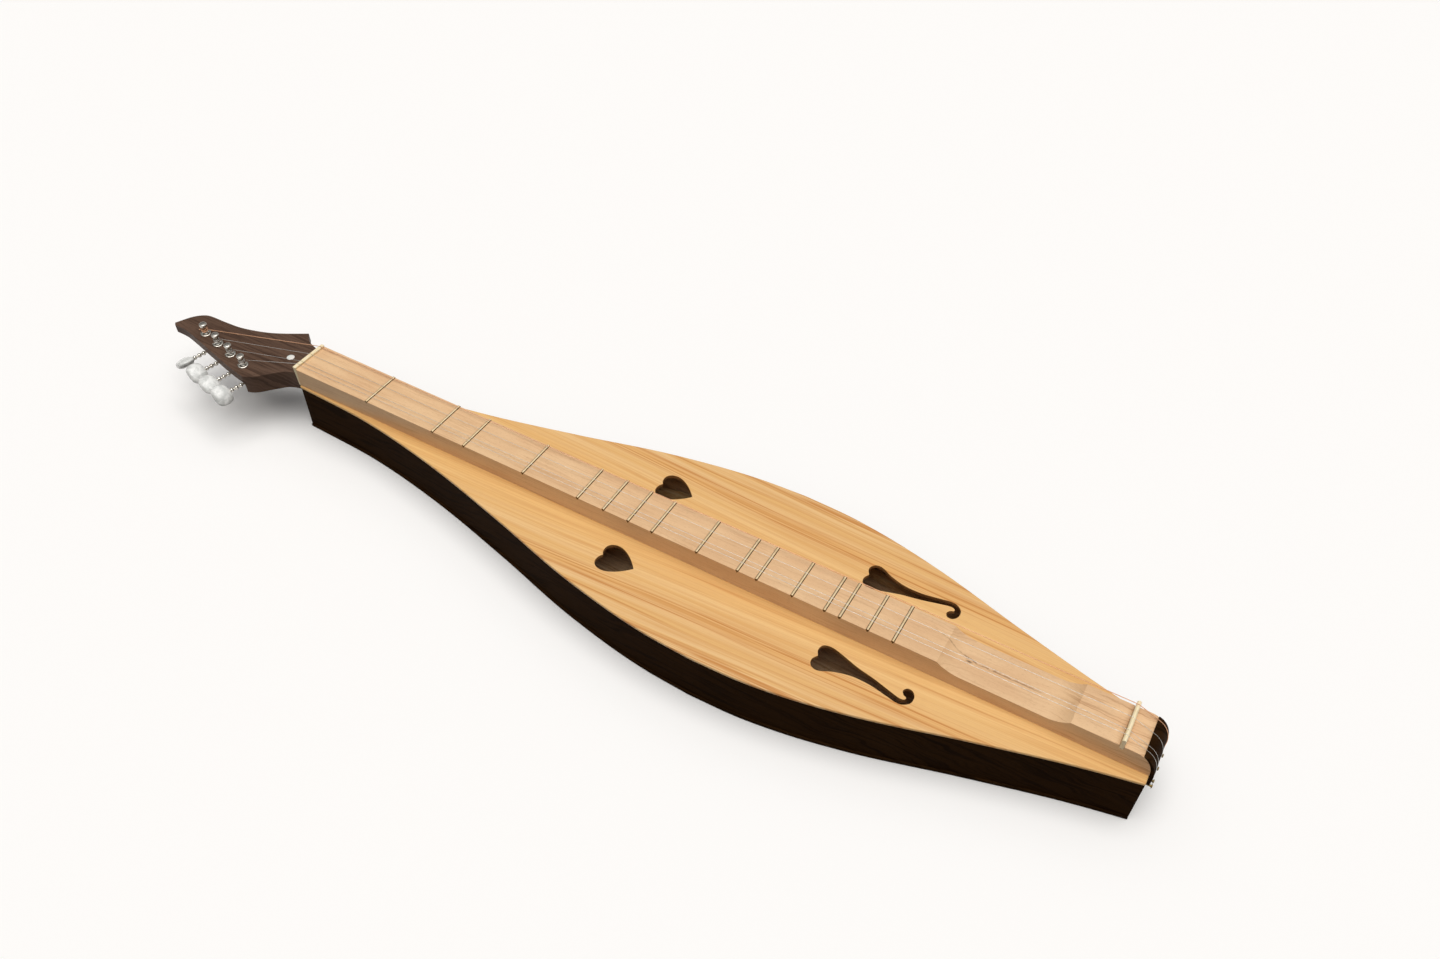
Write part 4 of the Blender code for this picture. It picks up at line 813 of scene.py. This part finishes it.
def row_of(fitting, points, lean, finish):
    """Repeats a small mesh at points, through the tree."""
    pattern = linked("fitting", fitting)
    values = {"Fitting": pattern, "Lean": lean, "Size": 1.0, "Finish": finish}
    result = tree_result("row", ROW_TREE, mesh_of(points), values)
    bpy.data.objects.remove(pattern)
    return result


def refinish(piece, finish, chosen):
    """Gives some of a piece's faces another finish."""
    piece.data.materials.append(finish)
    for face in piece.data.polygons:
        face.material_index = int(chosen(face))


def in_hole(face):
    """The upright walls inside a board's outline, which are the walls of its sound holes."""
    x, y, _ = face.center
    in_board = NUT_X + HOLE_MARGIN < x < TAIL_X - HOLE_MARGIN and 2 * SEAM < abs(y) < edge_y(x, HOLE_MARGIN)
    return in_board and abs(face.normal.z) < 0.5


def make_soundboard():
    """Two book-matched halves; the walls of the sound holes are a darker brown than the board."""
    for name, side in (("near", -1), ("far", 1)):
        outline = edge_run(NUT_X, TAIL_X, 0, side) + [(TAIL_X, side * SEAM), (NUT_X, side * SEAM)]
        heart = [(HEART_NOTCH[0] + x, side * (HEART_NOTCH[1] + y)) for x, y in heart_outline()]
        curl = smooth_run(SCROLL_OUTLINE + SCROLL_OUTLINE[:1], 5)[:-1]
        scroll = [(SCROLL_NOTCH[0] + x, side * (SCROLL_NOTCH[1] + y)) for x, y in curl]
        holes = merged([sawn(hole, BACK_TOP, BOARD_TOP) for hole in (heart, scroll)])
        board = eased(sawn(outline, SOUNDBOARD_UNDER, SOUNDBOARD_TOP), 0.0009, 4)
        half = level_faces(joined(board, holes))
        piece = fit_piece(f"top_half_{name}", half, SOFTWOOD, "soundboard_softwood", f"soundboard_{name}")
        refinish(piece, HOLE_WALL_BROWN, in_hole)


def make_sides():
    """Two bent sides, left bare inside, as makers do, and painted pale there as painted light."""
    for name, side in (("near", -1), ("far", 1)):
        rings = []
        for x in STATIONS:
            outer = side * edge_y(x, EDGE_OVERHANG)
            inner = side * edge_y(x, EDGE_OVERHANG + SIDE_THICKNESS)
            rings.append([(x, y, z) for y, z in (
                (outer, BACK_TOP), (outer, SOUNDBOARD_UNDER), (inner, SOUNDBOARD_UNDER), (inner, BACK_TOP)
            )])
        wall = smooth(skinned(rings))
        piece = fit_piece(f"bent_side_{name}", wall, BODY_WALNUT_PAINTED_SHADE, "dark_walnut", f"side_{name}")
        refinish(piece, BARE_WALNUT_PAINTED_LIGHT, lambda face, side=side: face.normal.y * side < -0.5)


def outline_ring(inset, z):
    """The body's outline drawn in by an inset, at one height, always with the same number of points."""
    places = np.linspace(NUT_X + inset, TAIL_X - inset, len(STATIONS))
    near = [(x, -edge_y(x, inset), z) for x in places]
    return near + [(x, edge_y(x, inset), z) for x in places[::-1]]


def make_back():
    """The back board, its outer edge rounded over and its inner face bare and painted pale, as painted light."""
    rings = []
    for turn in np.radians((0, 30, 60, 90)):
        rings.append(outline_ring(ROUND_OVER * (1 - sin(turn)), ROUND_OVER * (1 - cos(turn))))
    for drawn_in, below in ((0, 1), (0.13, 0.5), (0.5, 0.13), (1, 0)):
        rings.append(outline_ring(drawn_in * ROUND_OVER, BACK_TOP - below * ROUND_OVER))
    rings.append(outline_ring(EDGE_OVERHANG + SIDE_THICKNESS, BACK_TOP))
    back = smooth(skinned(rings), 40)
    inner_face = len(back.polygons) - 1
    piece = fit_piece("back_plate", back, BODY_WALNUT_PAINTED_SHADE, "dark_walnut", "back_board")
    refinish(piece, BARE_WALNUT_PAINTED_LIGHT, lambda face: face.index == inner_face)


def cove(edge_x, floor_x, steps=24):
    """The sanded curve from the board's top down to the strum hollow's floor."""
    run = abs(floor_x - edge_x)
    radius = (run**2 + HOLLOW_DEPTH**2) / (2 * HOLLOW_DEPTH)
    points = []
    for i in range(steps + 1):
        away = run * (1 - i / steps)
        x = edge_x + (floor_x - edge_x) * i / steps
        points.append((x, BOARD_TOP - HOLLOW_DEPTH + radius - sqrt(radius**2 - away**2)))
    return points


def board_wide(outline, rounding, segments=3):
    """Saws an outline across the fretboard's width and rounds its edges over."""
    return eased(sawn(outline, -BOARD_HALF, BOARD_HALF, "Y"), rounding, segments)


def make_fretboard():
    slot = BRIDGE_THICKNESS / 2 + GAP
    outline = [(NUT_X + GAP, BOARD_LOW), (NUT_X + GAP, BOARD_TOP)]
    outline += cove(HOLLOW_START, HOLLOW_START + HOLLOW_ENTRY_RUN)
    outline += cove(HOLLOW_END, HOLLOW_END - HOLLOW_EXIT_RUN)[::-1]
    outline += [(BRIDGE_X - slot, BOARD_TOP), (BRIDGE_X - slot, BRIDGE_LOW - GAP)]
    outline += [(BRIDGE_X + slot, BRIDGE_LOW - GAP), (BRIDGE_X + slot, BOARD_TOP)]
    outline += arc((TAIL_X - TAIL_ROUND_RUN, BOARD_LOW), TAIL_ROUND_RUN, 90, 0, 20, BOARD_TOP - BOARD_LOW)
    fit_piece("fingerboard", board_wide(outline, 0.0003, 2), HARDWOOD, "fretboard_hardwood", "fretboard")


def make_frets():
    points = mesh_of([(0, 0, 0)] * len(FRET_SEMITONES))
    steps = points.attributes.new("semitones", "FLOAT", "POINT")
    steps.data.foreach_set("value", [float(step) for step in FRET_SEMITONES])
    values = {
        "Scale Length": SCALE_LENGTH, "Nut Place": NUT_X, "Board Top": BOARD_TOP, "Board Width": FRET_LENGTH,
        "Crown Width": FRET_WIDTH, "Crown Height": FRET_HEIGHT, "Tang Width": TANG_WIDTH,
        "Tang Depth": TANG_DEPTH, "Finish": FRET_METAL,
    }
    frets = smooth(tree_result("frets", FRET_TREE, points, values), 50)
    fit_piece("frets", frets, FRET_METAL, "gear_brass", "fretboard")


def string_notches(floor, x):
    """Cutters for the slots that the strings lie in, across a nut or bridge."""
    cutters = []
    for string in STRINGS.values():
        reach = string["diameter"] / 2 + NOTCH_ROOM
        cutters.append(block((x - 0.01, string["y"] - reach, floor), (x + 0.01, string["y"] + reach, floor + 0.01)))
    return merged(cutters)


def make_nut_and_bridge():
    outline = ((NUT_X, BOARD_LOW), (NUT_X, NUT_TOP), (NUT_X - NUT_TOP_THICKNESS, NUT_TOP),
               (NUT_X - NUT_FOOT_THICKNESS, BOARD_LOW))
    nut = joined(board_wide(outline, 0.0006), string_notches(NUT_TOP - NOTCH_DEPTH, NUT_X))
    fit_piece("bone_nut", level_faces(nut), BONE, "bone", "nut")
    radius = BRIDGE_THICKNESS / 2
    crown = arc((BRIDGE_X, BRIDGE_TOP - radius), radius, 0, 180, 20)
    outline = [(BRIDGE_X + radius, BRIDGE_LOW)] + crown + [(BRIDGE_X - radius, BRIDGE_LOW)]
    bridge = joined(board_wide(outline, 0.0004), string_notches(BRIDGE_NOTCH, BRIDGE_X))
    fit_piece("bone_bridge", level_faces(bridge), BONE, "bone", "bridge")


def cap_curve(start, end, offset, steps):
    """Points down the tail cap's outer curve, held off it by an offset."""
    centre = (CAP_FACE - CAP_ROUND_RUN, BOARD_TOP - CAP_ROUND_DROP)
    return arc(centre, CAP_ROUND_RUN + offset, start, end, steps, CAP_ROUND_DROP + offset)


def make_tail_cap():
    inner_run = TAIL_ROUND_RUN + GAP
    outer_start = degrees(acos((CAP_LIP - CAP_FACE + CAP_ROUND_RUN) / CAP_ROUND_RUN))
    inner_start = degrees(acos((CAP_LIP - TAIL_X + TAIL_ROUND_RUN) / inner_run))
    outline = cap_curve(outer_start, 0, 0, 20) + [(CAP_FACE, CAP_BOTTOM), (TAIL_X + GAP, CAP_BOTTOM)]
    centre = (TAIL_X - TAIL_ROUND_RUN, CAP_ROUND_LOW)
    outline += arc(centre, inner_run, 0, inner_start, 20, BOARD_TOP - CAP_ROUND_LOW)
    fit_piece("end_cap", board_wide(outline, 0.0003, 2), BODY_WALNUT_PAINTED_SHADE, "dark_walnut", "tail_cap")


def pin_y(name):
    string = STRINGS[name]
    return string["y"] - (PIN_RADIUS + PIN_ROOM + string["diameter"] / 2)


def make_hitch_pins():
    points = [(TAIL_X, pin_y(name), PIN_Z) for name in STRINGS]
    pins = smooth(row_of(lathe(PIN_PROFILE, 24), points, (0, radians(90), 0), AGED_BRASS), 40)
    nodes = [f"hitch_pin_{name}" for name in STRINGS]
    fit_piece("brass_hitch_pins", pins, AGED_BRASS, "gear_brass", *nodes)


def head_planform():
    """The peghead seen from above, with its block between the body's sides."""
    inset = EDGE_OVERHANG + SIDE_THICKNESS
    block_far = edge_run(NUT_X, NUT_X + HEAD_BLOCK_LENGTH, inset, 1)[::-1]
    block_near = edge_run(NUT_X, NUT_X + HEAD_BLOCK_LENGTH, inset, -1)
    far_neck = smooth_run(((NECK_START, NECK_FAR_Y),) + FAR_NECK, 10)[:-1]
    edges = far_neck + smooth_run(FAR_EDGE, 8) + smooth_run(NEAR_EDGE + ((NECK_START, NECK_NEAR_Y),), 8)
    shoulder = NUT_X - GAP
    return (
        block_far + [(shoulder, block_far[-1][1]), (shoulder, NECK_FAR_Y)]
        + [(NUT_X + x, y) for x, y in edges]
        + [(shoulder, NECK_NEAR_Y), (shoulder, block_near[0][1])] + block_near
    )


def head_side_profile():
    """The peghead seen from the player: plate, ledge under the nut, and block inside the body."""
    tip, back = NUT_X - 0.3, NUT_X + 0.1
    ledge, shoulder = NUT_X - NUT_TOP_THICKNESS - GAP, NUT_X - GAP
    return (
        (tip, HEAD_TOP), (ledge, HEAD_TOP), (ledge, SOUNDBOARD_TOP), (shoulder, SOUNDBOARD_TOP),
        (shoulder, SOUNDBOARD_UNDER), (back, SOUNDBOARD_UNDER), (back, BACK_TOP), (NUT_X, BACK_TOP),
        (NUT_X, HEAD_UNDER), (tip, HEAD_UNDER),
    )


def upright_hole(x, y, radius, low, high, steps=32):
    return sawn(circle((x, y), radius, steps), low, high)


def numbered(name, count):
    return [f"{name}_{i + 1}" for i in range(count)]


def make_peghead():
    head = joined(sawn(head_planform(), -0.05, 0.1), sawn(head_side_profile(), -0.2, 0.2, "Y"), "INTERSECT")
    outline = [(-0.1, -HEAD_THIN)] + arc((COVE_START, -HEAD_THIN - COVE_RADIUS), COVE_RADIUS, 90, 0, 12)
    outline += [(COVE_START + COVE_RADIUS, -0.05), (-0.1, -0.05)]
    head = joined(head, carried(sawn(outline, -0.2, 0.2, "Y"), TUNER_LINE))
    head = eased(head, 0.0007)
    holes = [upright_hole(i * TUNER_PITCH, 0, SLEEVE_RADIUS + GAP, -0.05, 0.05) for i in range(TUNER_COUNT)]
    pearl = upright_hole(*PEARL_PLACE, PEARL_RADIUS + PEARL_GAP, HEAD_TOP - PEARL_DEPTH, 0.1, 48)
    head = joined(head, merged([carried(merged(holes), TUNER_LINE), pearl]))
    fit_piece("head_and_block", level_faces(head), HEAD_WALNUT_PAINTED_LIGHT, "dark_walnut", "peghead")


def make_pearl_dot():
    profile = [(PEARL_RADIUS * share, height) for share, height in PEARL_PROFILE]
    dot = carried(lathe(profile, 48), Matrix.Translation((*PEARL_PLACE, HEAD_TOP)))
    fit_piece("head_dot", smooth(dot, 50), SHELL, "shell", "pearl_dot")


def make_tuner_plate():
    half, corner = PLATE_HALF_WIDTH, PLATE_CORNER
    outline = []
    for x, y, turn in (
        (PLATE_END, half, 0), (PLATE_START, half, 90), (PLATE_START, -half, 180), (PLATE_END, -half, 270)
    ):
        centre = (x - corner * copysign(1, x), y - corner * copysign(1, y))
        outline += arc(centre, corner, turn, turn + 90, 8)
    plate = sawn(outline, PLATE_LOW, PLATE_HIGH)
    # Each ear starts halfway into the plate
    in_plate = (PLATE_LOW + PLATE_HIGH) / 2
    ears, bores, holes = [], [], []
    for i in range(TUNER_COUNT):
        centre = (i * TUNER_PITCH + WORM_OFFSET, WORM_AXIS_Z)
        ear = arc(centre, EAR_HALF_WIDTH, 180, 360, 16)
        ear += [(centre[0] + EAR_HALF_WIDTH, in_plate), (centre[0] - EAR_HALF_WIDTH, in_plate)]
        for side in (-1, 1):
            ears.append(sawn(ear, *sorted((side * EAR_INNER, side * (EAR_INNER + EAR_THICKNESS))), "Y"))
        bores.append(sawn(circle(centre, SHAFT_RADIUS + GAP, 24), -half, half, "Y"))
        holes.append(upright_hole(i * TUNER_PITCH, 0, POST_BORE, -0.02, 0))
    holes += [upright_hole(x, 0, SCREW_BORE_RADIUS, -0.02, 0, 16) for x in SCREW_PLACES]
    plate = joined(joined(joined(plate, merged(ears), "UNION"), merged(bores)), merged(holes))
    plate = carried(eased(plate, 0.00012, 2), TUNER_LINE)
    fit_piece("tuner_strip", plate, NICKEL, "nickel", "tuner_plate")


def slotted_screw(under, head_radius, shank_top):
    """A small slotted screw with its head down."""
    low = under - SCREW_HEAD_THICKNESS
    slot_floor = low + SCREW_SLOT_DEPTH
    profile = [(head_radius * 0.35, low), (head_radius * 0.75, low + 0.0001), (head_radius, slot_floor)]
    profile += [(head_radius, under), (SCREW_SHANK_RADIUS, under), (SCREW_SHANK_RADIUS, shank_top)]
    slot = block((-0.01, -SCREW_SLOT_HALF, low - 0.001), (0.01, SCREW_SLOT_HALF, slot_floor))
    return joined(lathe(profile, 28), slot)


def make_plate_screws():
    screw = slotted_screw(PLATE_LOW - GAP, SCREW_HEAD_RADIUS, PLATE_SCREW_TOP)
    points = [TUNER_LINE @ Vector((x, 0, 0)) for x in SCREW_PLACES]
    screws = smooth(row_of(screw, points, (0, 0, 0.9), STEEL))
    fit_piece("strip_screws", screws, STEEL, "string_steel", *numbered("plate_screw", len(SCREW_PLACES)))


def make_bushings():
    points = [TUNER_LINE @ Vector((i * TUNER_PITCH, 0, 0)) for i in range(TUNER_COUNT)]
    bushings = smooth(row_of(lathe(BUSHING_PROFILE, 48, hollow=True), points, (0, 0, 0), NICKEL))
    fit_piece("post_ferrules", bushings, NICKEL, "nickel", *numbered("post_bushing", TUNER_COUNT))


def post_mesh():
    """A string post: collar, hollowed waist with its string hole, and domed cap; below, the square for the gear."""
    seat = WORM_AXIS_Z + GEAR_HALF_THICKNESS
    profile = [(POST_RADIUS, seat), *COLLAR_PROFILE]
    for i in range(WAIST_STEPS + 1):
        share = i / WAIST_STEPS
        # The waist is hollowed on a curve between collar and cap
        bulge = abs(2 * share - 1) ** 4
        height = WAIST_LOW + (WAIST_TOP - WAIST_LOW) * share
        flare = LOW_FLARE if share < 0.5 else TOP_FLARE
        profile.append((WAIST_RADIUS + flare * bulge, height))
    profile += CAP_PROFILE
    low = WORM_AXIS_Z - GEAR_HALF_THICKNESS
    spigot = block((-SPIGOT_HALF, -SPIGOT_HALF, low + 0.0003), (SPIGOT_HALF, SPIGOT_HALF, seat + SPIGOT_HALF))
    post = joined(lathe(profile, 48), spigot, "UNION")
    hole = sawn(circle((0, POST_HOLE_HEIGHT), POST_HOLE_RADIUS, 24), -0.01, 0.01, "Y")
    bore = upright_hole(0, 0, SCREW_BORE_RADIUS, low - 0.001, low + POST_BORE_DEPTH, 20)
    return smooth(joined(joined(post, bore), hole), 40)


def gear_mesh():
    """A brass gear cut with shallow teeth, a valley facing the worm."""
    count = GEAR_TEETH * 12
    outline = []
    for i in range(count):
        angle = 2 * pi * i / count
        radius = GEAR_RADIUS - TOOTH_HALF_HEIGHT * cos(GEAR_TEETH * angle)
        outline.append((radius * cos(angle), radius * sin(angle)))
    low, high = WORM_AXIS_Z - GEAR_HALF_THICKNESS, WORM_AXIS_Z + GEAR_HALF_THICKNESS
    half = SPIGOT_HALF + GAP
    hole = block((-half, -half, low - half), (half, half, high + half))
    return eased(joined(sawn(outline, low, high), hole), 0.0001, 2, 50)


def shaft_ring(along, radius_at):
    turns = [2 * pi * i / SHAFT_SIDES for i in range(SHAFT_SIDES)]
    return [(radius_at(a) * cos(a), radius_at(a) * sin(a), along) for a in turns]


def worm_radius(angle, along):
    """A right-hand thread whose ridge faces the gear at the middle of the worm, faded out at both ends."""
    half_length = WORM_PITCH * WORM_TURNS / 2
    fade = min(1, (half_length - abs(along)) / (WORM_PITCH / 3))
    ridge = cos(2 * pi * along / WORM_PITCH - (angle - pi))
    return SHAFT_RADIUS + (WORM_RADIUS - SHAFT_RADIUS + TOOTH_HALF_HEIGHT * ridge) * fade


def shaft_mesh():
    """A key shaft along +Z: end collar, worm, collar and three turned beads."""
    shoulder = COLLAR_RADIUS - COLLAR_EDGE
    collar = [
        (COLLAR_START, SHAFT_RADIUS), (COLLAR_START, shoulder), (COLLAR_START + COLLAR_EDGE, COLLAR_RADIUS),
        (COLLAR_END - COLLAR_EDGE, COLLAR_RADIUS), (COLLAR_END, shoulder),
    ]
    after = collar + [(COLLAR_END, SHAFT_RADIUS)]
    neck = acos(BEAD_NECK_RADIUS / BEAD_RADIUS)
    for bead in range(BEAD_COUNT):
        centre = FIRST_BEAD + bead * BEAD_PITCH
        for i in range(BEAD_STEPS + 1):
            angle = -neck + 2 * neck * i / BEAD_STEPS
            after.append((centre + BEAD_RADIUS * sin(angle), BEAD_RADIUS * cos(angle)))
    after += [(LAST_NECK, SHAFT_RADIUS), (BUTTON_START + SHAFT_IN_BUTTON, SHAFT_RADIUS)]
    half_length = WORM_PITCH * WORM_TURNS / 2
    steps = 20 * WORM_TURNS
    worm = [-half_length + 2 * half_length * i / steps for i in range(steps + 1)]
    rings = [shaft_ring(-along, lambda a, size=size: size) for along, size in collar[::-1]]
    rings += [shaft_ring(along, lambda a, at=along: worm_radius(a, at)) for along in worm]
    rings += [shaft_ring(along, lambda a, size=size: size) for along, size in after]
    return smooth(skinned(rings), 40)


def button_mesh():
    """An oval button, wide and flattened, its rim rounded, with a bore for the shaft."""
    levels, around, end, fullness = 40, 56, 0.12, 0.5
    # The section is a lens, with a soft ridge round its rim
    oval = circle((0, 0), 1, around)
    rings = []
    for level in range(levels + 1):
        angle = end + (pi - 2 * end) * level / levels
        along = BUTTON_LENGTH / 2 * (1 - cos(angle) / cos(end))
        size = sin(angle) ** fullness
        rings.append([
            (BUTTON_WIDTH / 2 * size * a, BUTTON_THICKNESS / 2 * size * b * abs(b) ** 0.2, along) for a, b in oval
        ])
    bore = upright_hole(0, 0, SHAFT_RADIUS + GAP, -0.008, 0.008, 24)
    return smooth(joined(skinned(rings), bore), 45)


def wraps_path(string, nut_point):
    """A string's turns round its post, in the post's frame, and the point where the straight string meets them."""
    diameter = string["diameter"]
    radius = WAIST_RADIUS + WINDING_ROOM + diameter / 2
    pitch = diameter + WINDING_SPACE
    rise = pitch * WINDING_TURNS
    distance = hypot(nut_point.x, nut_point.y)
    start_turn = atan2(nut_point.y, nut_point.x) + acos(radius / distance)
    sweep = pi / 2 + 2 * pi * WINDING_TURNS - start_turn
    start_z = POST_HOLE_HEIGHT - pitch - rise
    start = Vector((radius * cos(start_turn), radius * sin(start_turn), start_z))
    arriving = (start - nut_point).normalized()
    steps = round(48 * sweep / (2 * pi))
    path = [tuple(start - arriving * diameter)]
    for i in range(steps + 1):
        share = i / steps
        turn = start_turn + sweep * share
        climb = pitch * max(0, 1 - sweep * (1 - share) / pi)
        path.append((radius * cos(turn), radius * sin(turn), start_z + rise * share + climb))
    # The end goes through the post's hole and stands out a little on the far side
    ends = (0, WAIST_RADIUS, WAIST_RADIUS + 2 * diameter, WAIST_RADIUS + 4 * diameter)
    path += [(0, -end, POST_HOLE_HEIGHT) for end in ends]
    return path, start - arriving * diameter


def string_path(name, post_end):
    """A string from its post over nut, bridge and tail cap to the loop round its hitch pin."""
    string = STRINGS[name]
    y, clear = string["y"], string["diameter"] / 2
    at_nut = NUT_TOP - NOTCH_DEPTH + clear
    over_bridge = (BRIDGE_X, BRIDGE_NOTCH + clear)
    curve = cap_curve(90, 0, clear, 24)
    slopes = [(z - over_bridge[1]) / (x - over_bridge[0]) for x, z in curve]
    leaves = slopes.index(max(slopes))
    loop_radius = y - pin_y(name)
    path = [tuple(post_end), (NUT_X - NUT_TOP_THICKNESS, y, at_nut), (NUT_X, y, at_nut)]
    path += [(over_bridge[0], y, over_bridge[1])] + [(x, y, z) for x, z in curve[leaves:]]
    path += [(CAP_FACE + clear, y, CAP_BOTTOM)]
    path += [(LOOP_X, a, b) for a, b in arc((pin_y(name), PIN_Z), loop_radius, 0, -225, 20)]
    return path


def make_tuners_and_strings():
    """Each tuner's post, gear and wraps ride on its post body, its shaft and button on its key body."""
    post, gear, shaft, button = post_mesh(), gear_mesh(), shaft_mesh(), button_mesh()
    gear_low = WORM_AXIS_Z - GEAR_HALF_THICKNESS
    screw = smooth(slotted_screw(gear_low - GAP, GEAR_SCREW_RADIUS, GEAR_SCREW_TOP))
    for i, (name, string) in enumerate(STRINGS.items()):
        number = i + 1
        seat = TUNER_LINE @ Matrix.Translation((i * TUNER_PITCH, 0, 0))
        screwed = seat @ Matrix.Rotation(0.5 * i, 4, "Z")
        key = seat @ Matrix.Translation((WORM_OFFSET, 0, WORM_AXIS_Z)) @ Matrix.Rotation(radians(90), 4, "X")
        tilt = Matrix.Rotation(radians(BUTTON_TILTS[i]), 4, "Z")
        tilted = key @ Matrix.Translation((0, 0, BUTTON_START)) @ tilt
        post_body, key_body = f"string_post_{number}", f"tuner_key_{number}"
        for piece, mesh, place, finish, body, slot, node in (
            ("turned_post", post, seat, NICKEL, post_body, "nickel", "post"),
            ("cut_gear", gear, seat, BRASS, post_body, "gear_brass", "gear"),
            ("gear_bolt", screw, screwed, STEEL, post_body, "string_steel", "gear_screw"),
            ("beaded_shaft", shaft, key, NICKEL, key_body, "nickel", "key_shaft"),
            ("pearl_button", button, tilted, PEARL, key_body, "pearl_plastic", "key_button"),
        ):
            fit_piece(f"{piece}_{number}", carried(mesh.copy(), place), finish, slot, f"{node}_{number}", body=body)
        nut_point = seat.inverted() @ Vector((NUT_X - NUT_TOP_THICKNESS, string["y"], NUT_TOP - NOTCH_DEPTH))
        wraps, meeting = wraps_path(string, nut_point)
        finish, slot = (COPPER, "string_copper") if name == "bass" else (STEEL, "string_steel")
        values = {"Diameter": string["diameter"], "Sides": 14, "Finish": finish}
        turns = smooth(tree_result("wraps", WIRE_TREE, path_mesh(wraps), values), 60)
        fit_piece(f"wraps_{name}", carried(turns, seat), finish, slot, f"winding_{name}", body=post_body)
        wire = smooth(tree_result("wire", WIRE_TREE, path_mesh(string_path(name, seat @ meeting)), values), 60)
        fit_piece(f"wire_{name}", wire, finish, slot, f"string_{name}")


def finish_inside():
    """The framing inside the body keeps its CAD shape and gets its woods."""
    for name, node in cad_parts.items():
        if name.startswith(("lining", "brace")):
            node.material_slots[0].material = SPRUCE
        elif name == "tail_block":
            node.material_slots[0].material = BODY_WALNUT_PAINTED_SHADE


# Floor, light and camera


def seen(tree):
    """One where the eye, a reflection or clear plastic meets a surface, and nothing where soft light does."""
    path = add(tree, "LightPath")
    eye = add(tree, "Math", (path, path.outputs["Is Glossy Ray"]), operation="MAXIMUM")
    return add(tree, "Math", (eye, path.outputs["Is Transmission Ray"]), operation="MAXIMUM")


def make_floor():
    corners = [(x * FLOOR_REACH, y * FLOOR_REACH, 0) for x, y in ((-1, -1), (1, -1), (1, 1), (-1, 1))]
    mesh = mesh_of(corners, faces=[(0, 1, 2, 3)])
    floor = linked("floor", mesh)
    floor.location.z = FLOOR_Z
    material, tree, _ = new_finish("matt_floor", Roughness=0.9, Specular_IOR_Level=0.0)
    # The floor shows pale to the eye and in metal, but throws back little light, as dark cloth does
    surface(tree, "#5c5854", ((seen(tree), "#fbfaf9"),))
    mesh.materials.append(material)


def make_light():
    """A wide soft light overhead; the room shows pale at floor height and on top, and dim between."""
    world = bpy.data.worlds.new("studio")
    bpy.context.scene.world = world
    world.use_nodes = True
    tree = world.node_tree
    height = add(tree, "SeparateXYZ", (add(tree, "TexCoord").outputs["Generated"],)).outputs[2]
    low = add(tree, "MapRange", (height, 0.10, 0.28), interpolation_type="SMOOTHSTEP")
    top = add(tree, "MapRange", (height, 0.45, 0.80), interpolation_type="SMOOTHSTEP")
    room = add(tree, "Mix", {0: low, 6: "#fbfaf7", 7: "#4a4947"}, data_type="RGBA").outputs[2]
    shown = add(tree, "Mix", {0: top, 6: room, 7: "#dcdcdb"}, data_type="RGBA").outputs[2]
    lit = add(tree, "Mix", {0: top, 6: "#5a5855", 7: "#b9babc"}, data_type="RGBA").outputs[2]
    colour = add(tree, "Mix", {0: seen(tree), 6: lit, 7: shown}, data_type="RGBA").outputs[2]
    fill(tree, tree.nodes["Background"], {"Color": colour, "Strength": 1.0})
    lamp = bpy.data.lights.new("skylight", "SUN")
    lamp.energy = SKYLIGHT_ENERGY
    lamp.angle = radians(SKYLIGHT_SPREAD)
    lamp.color = SKYLIGHT_COLOUR
    light = linked("skylight", lamp)
    light.rotation_euler = (radians(SKYLIGHT_LEAN), radians(SKYLIGHT_LEAN), 0)


def make_camera():
    """Stands where the photograph was taken from."""
    camera = bpy.data.cameras.new("camera")
    camera.sensor_width = SENSOR_WIDTH
    camera.lens = LENS
    camera.clip_start = 0.01
    eye = linked("camera", camera)
    turn = Matrix((EYE_FORWARD.cross(EYE_UP), EYE_UP, -EYE_FORWARD)).transposed().to_4x4()
    eye.matrix_world = Matrix.Translation(EYE_PLACE) @ turn
    bpy.context.scene.camera = eye
    bpy.context.scene.view_settings.view_transform = "Standard"


make_camera()
make_floor()
make_light()
make_soundboard()
make_sides()
make_back()
make_fretboard()
make_frets()
make_nut_and_bridge()
make_tail_cap()
make_hitch_pins()
make_peghead()
make_pearl_dot()
make_tuner_plate()
make_plate_screws()
make_bushings()
make_tuners_and_strings()
finish_inside()
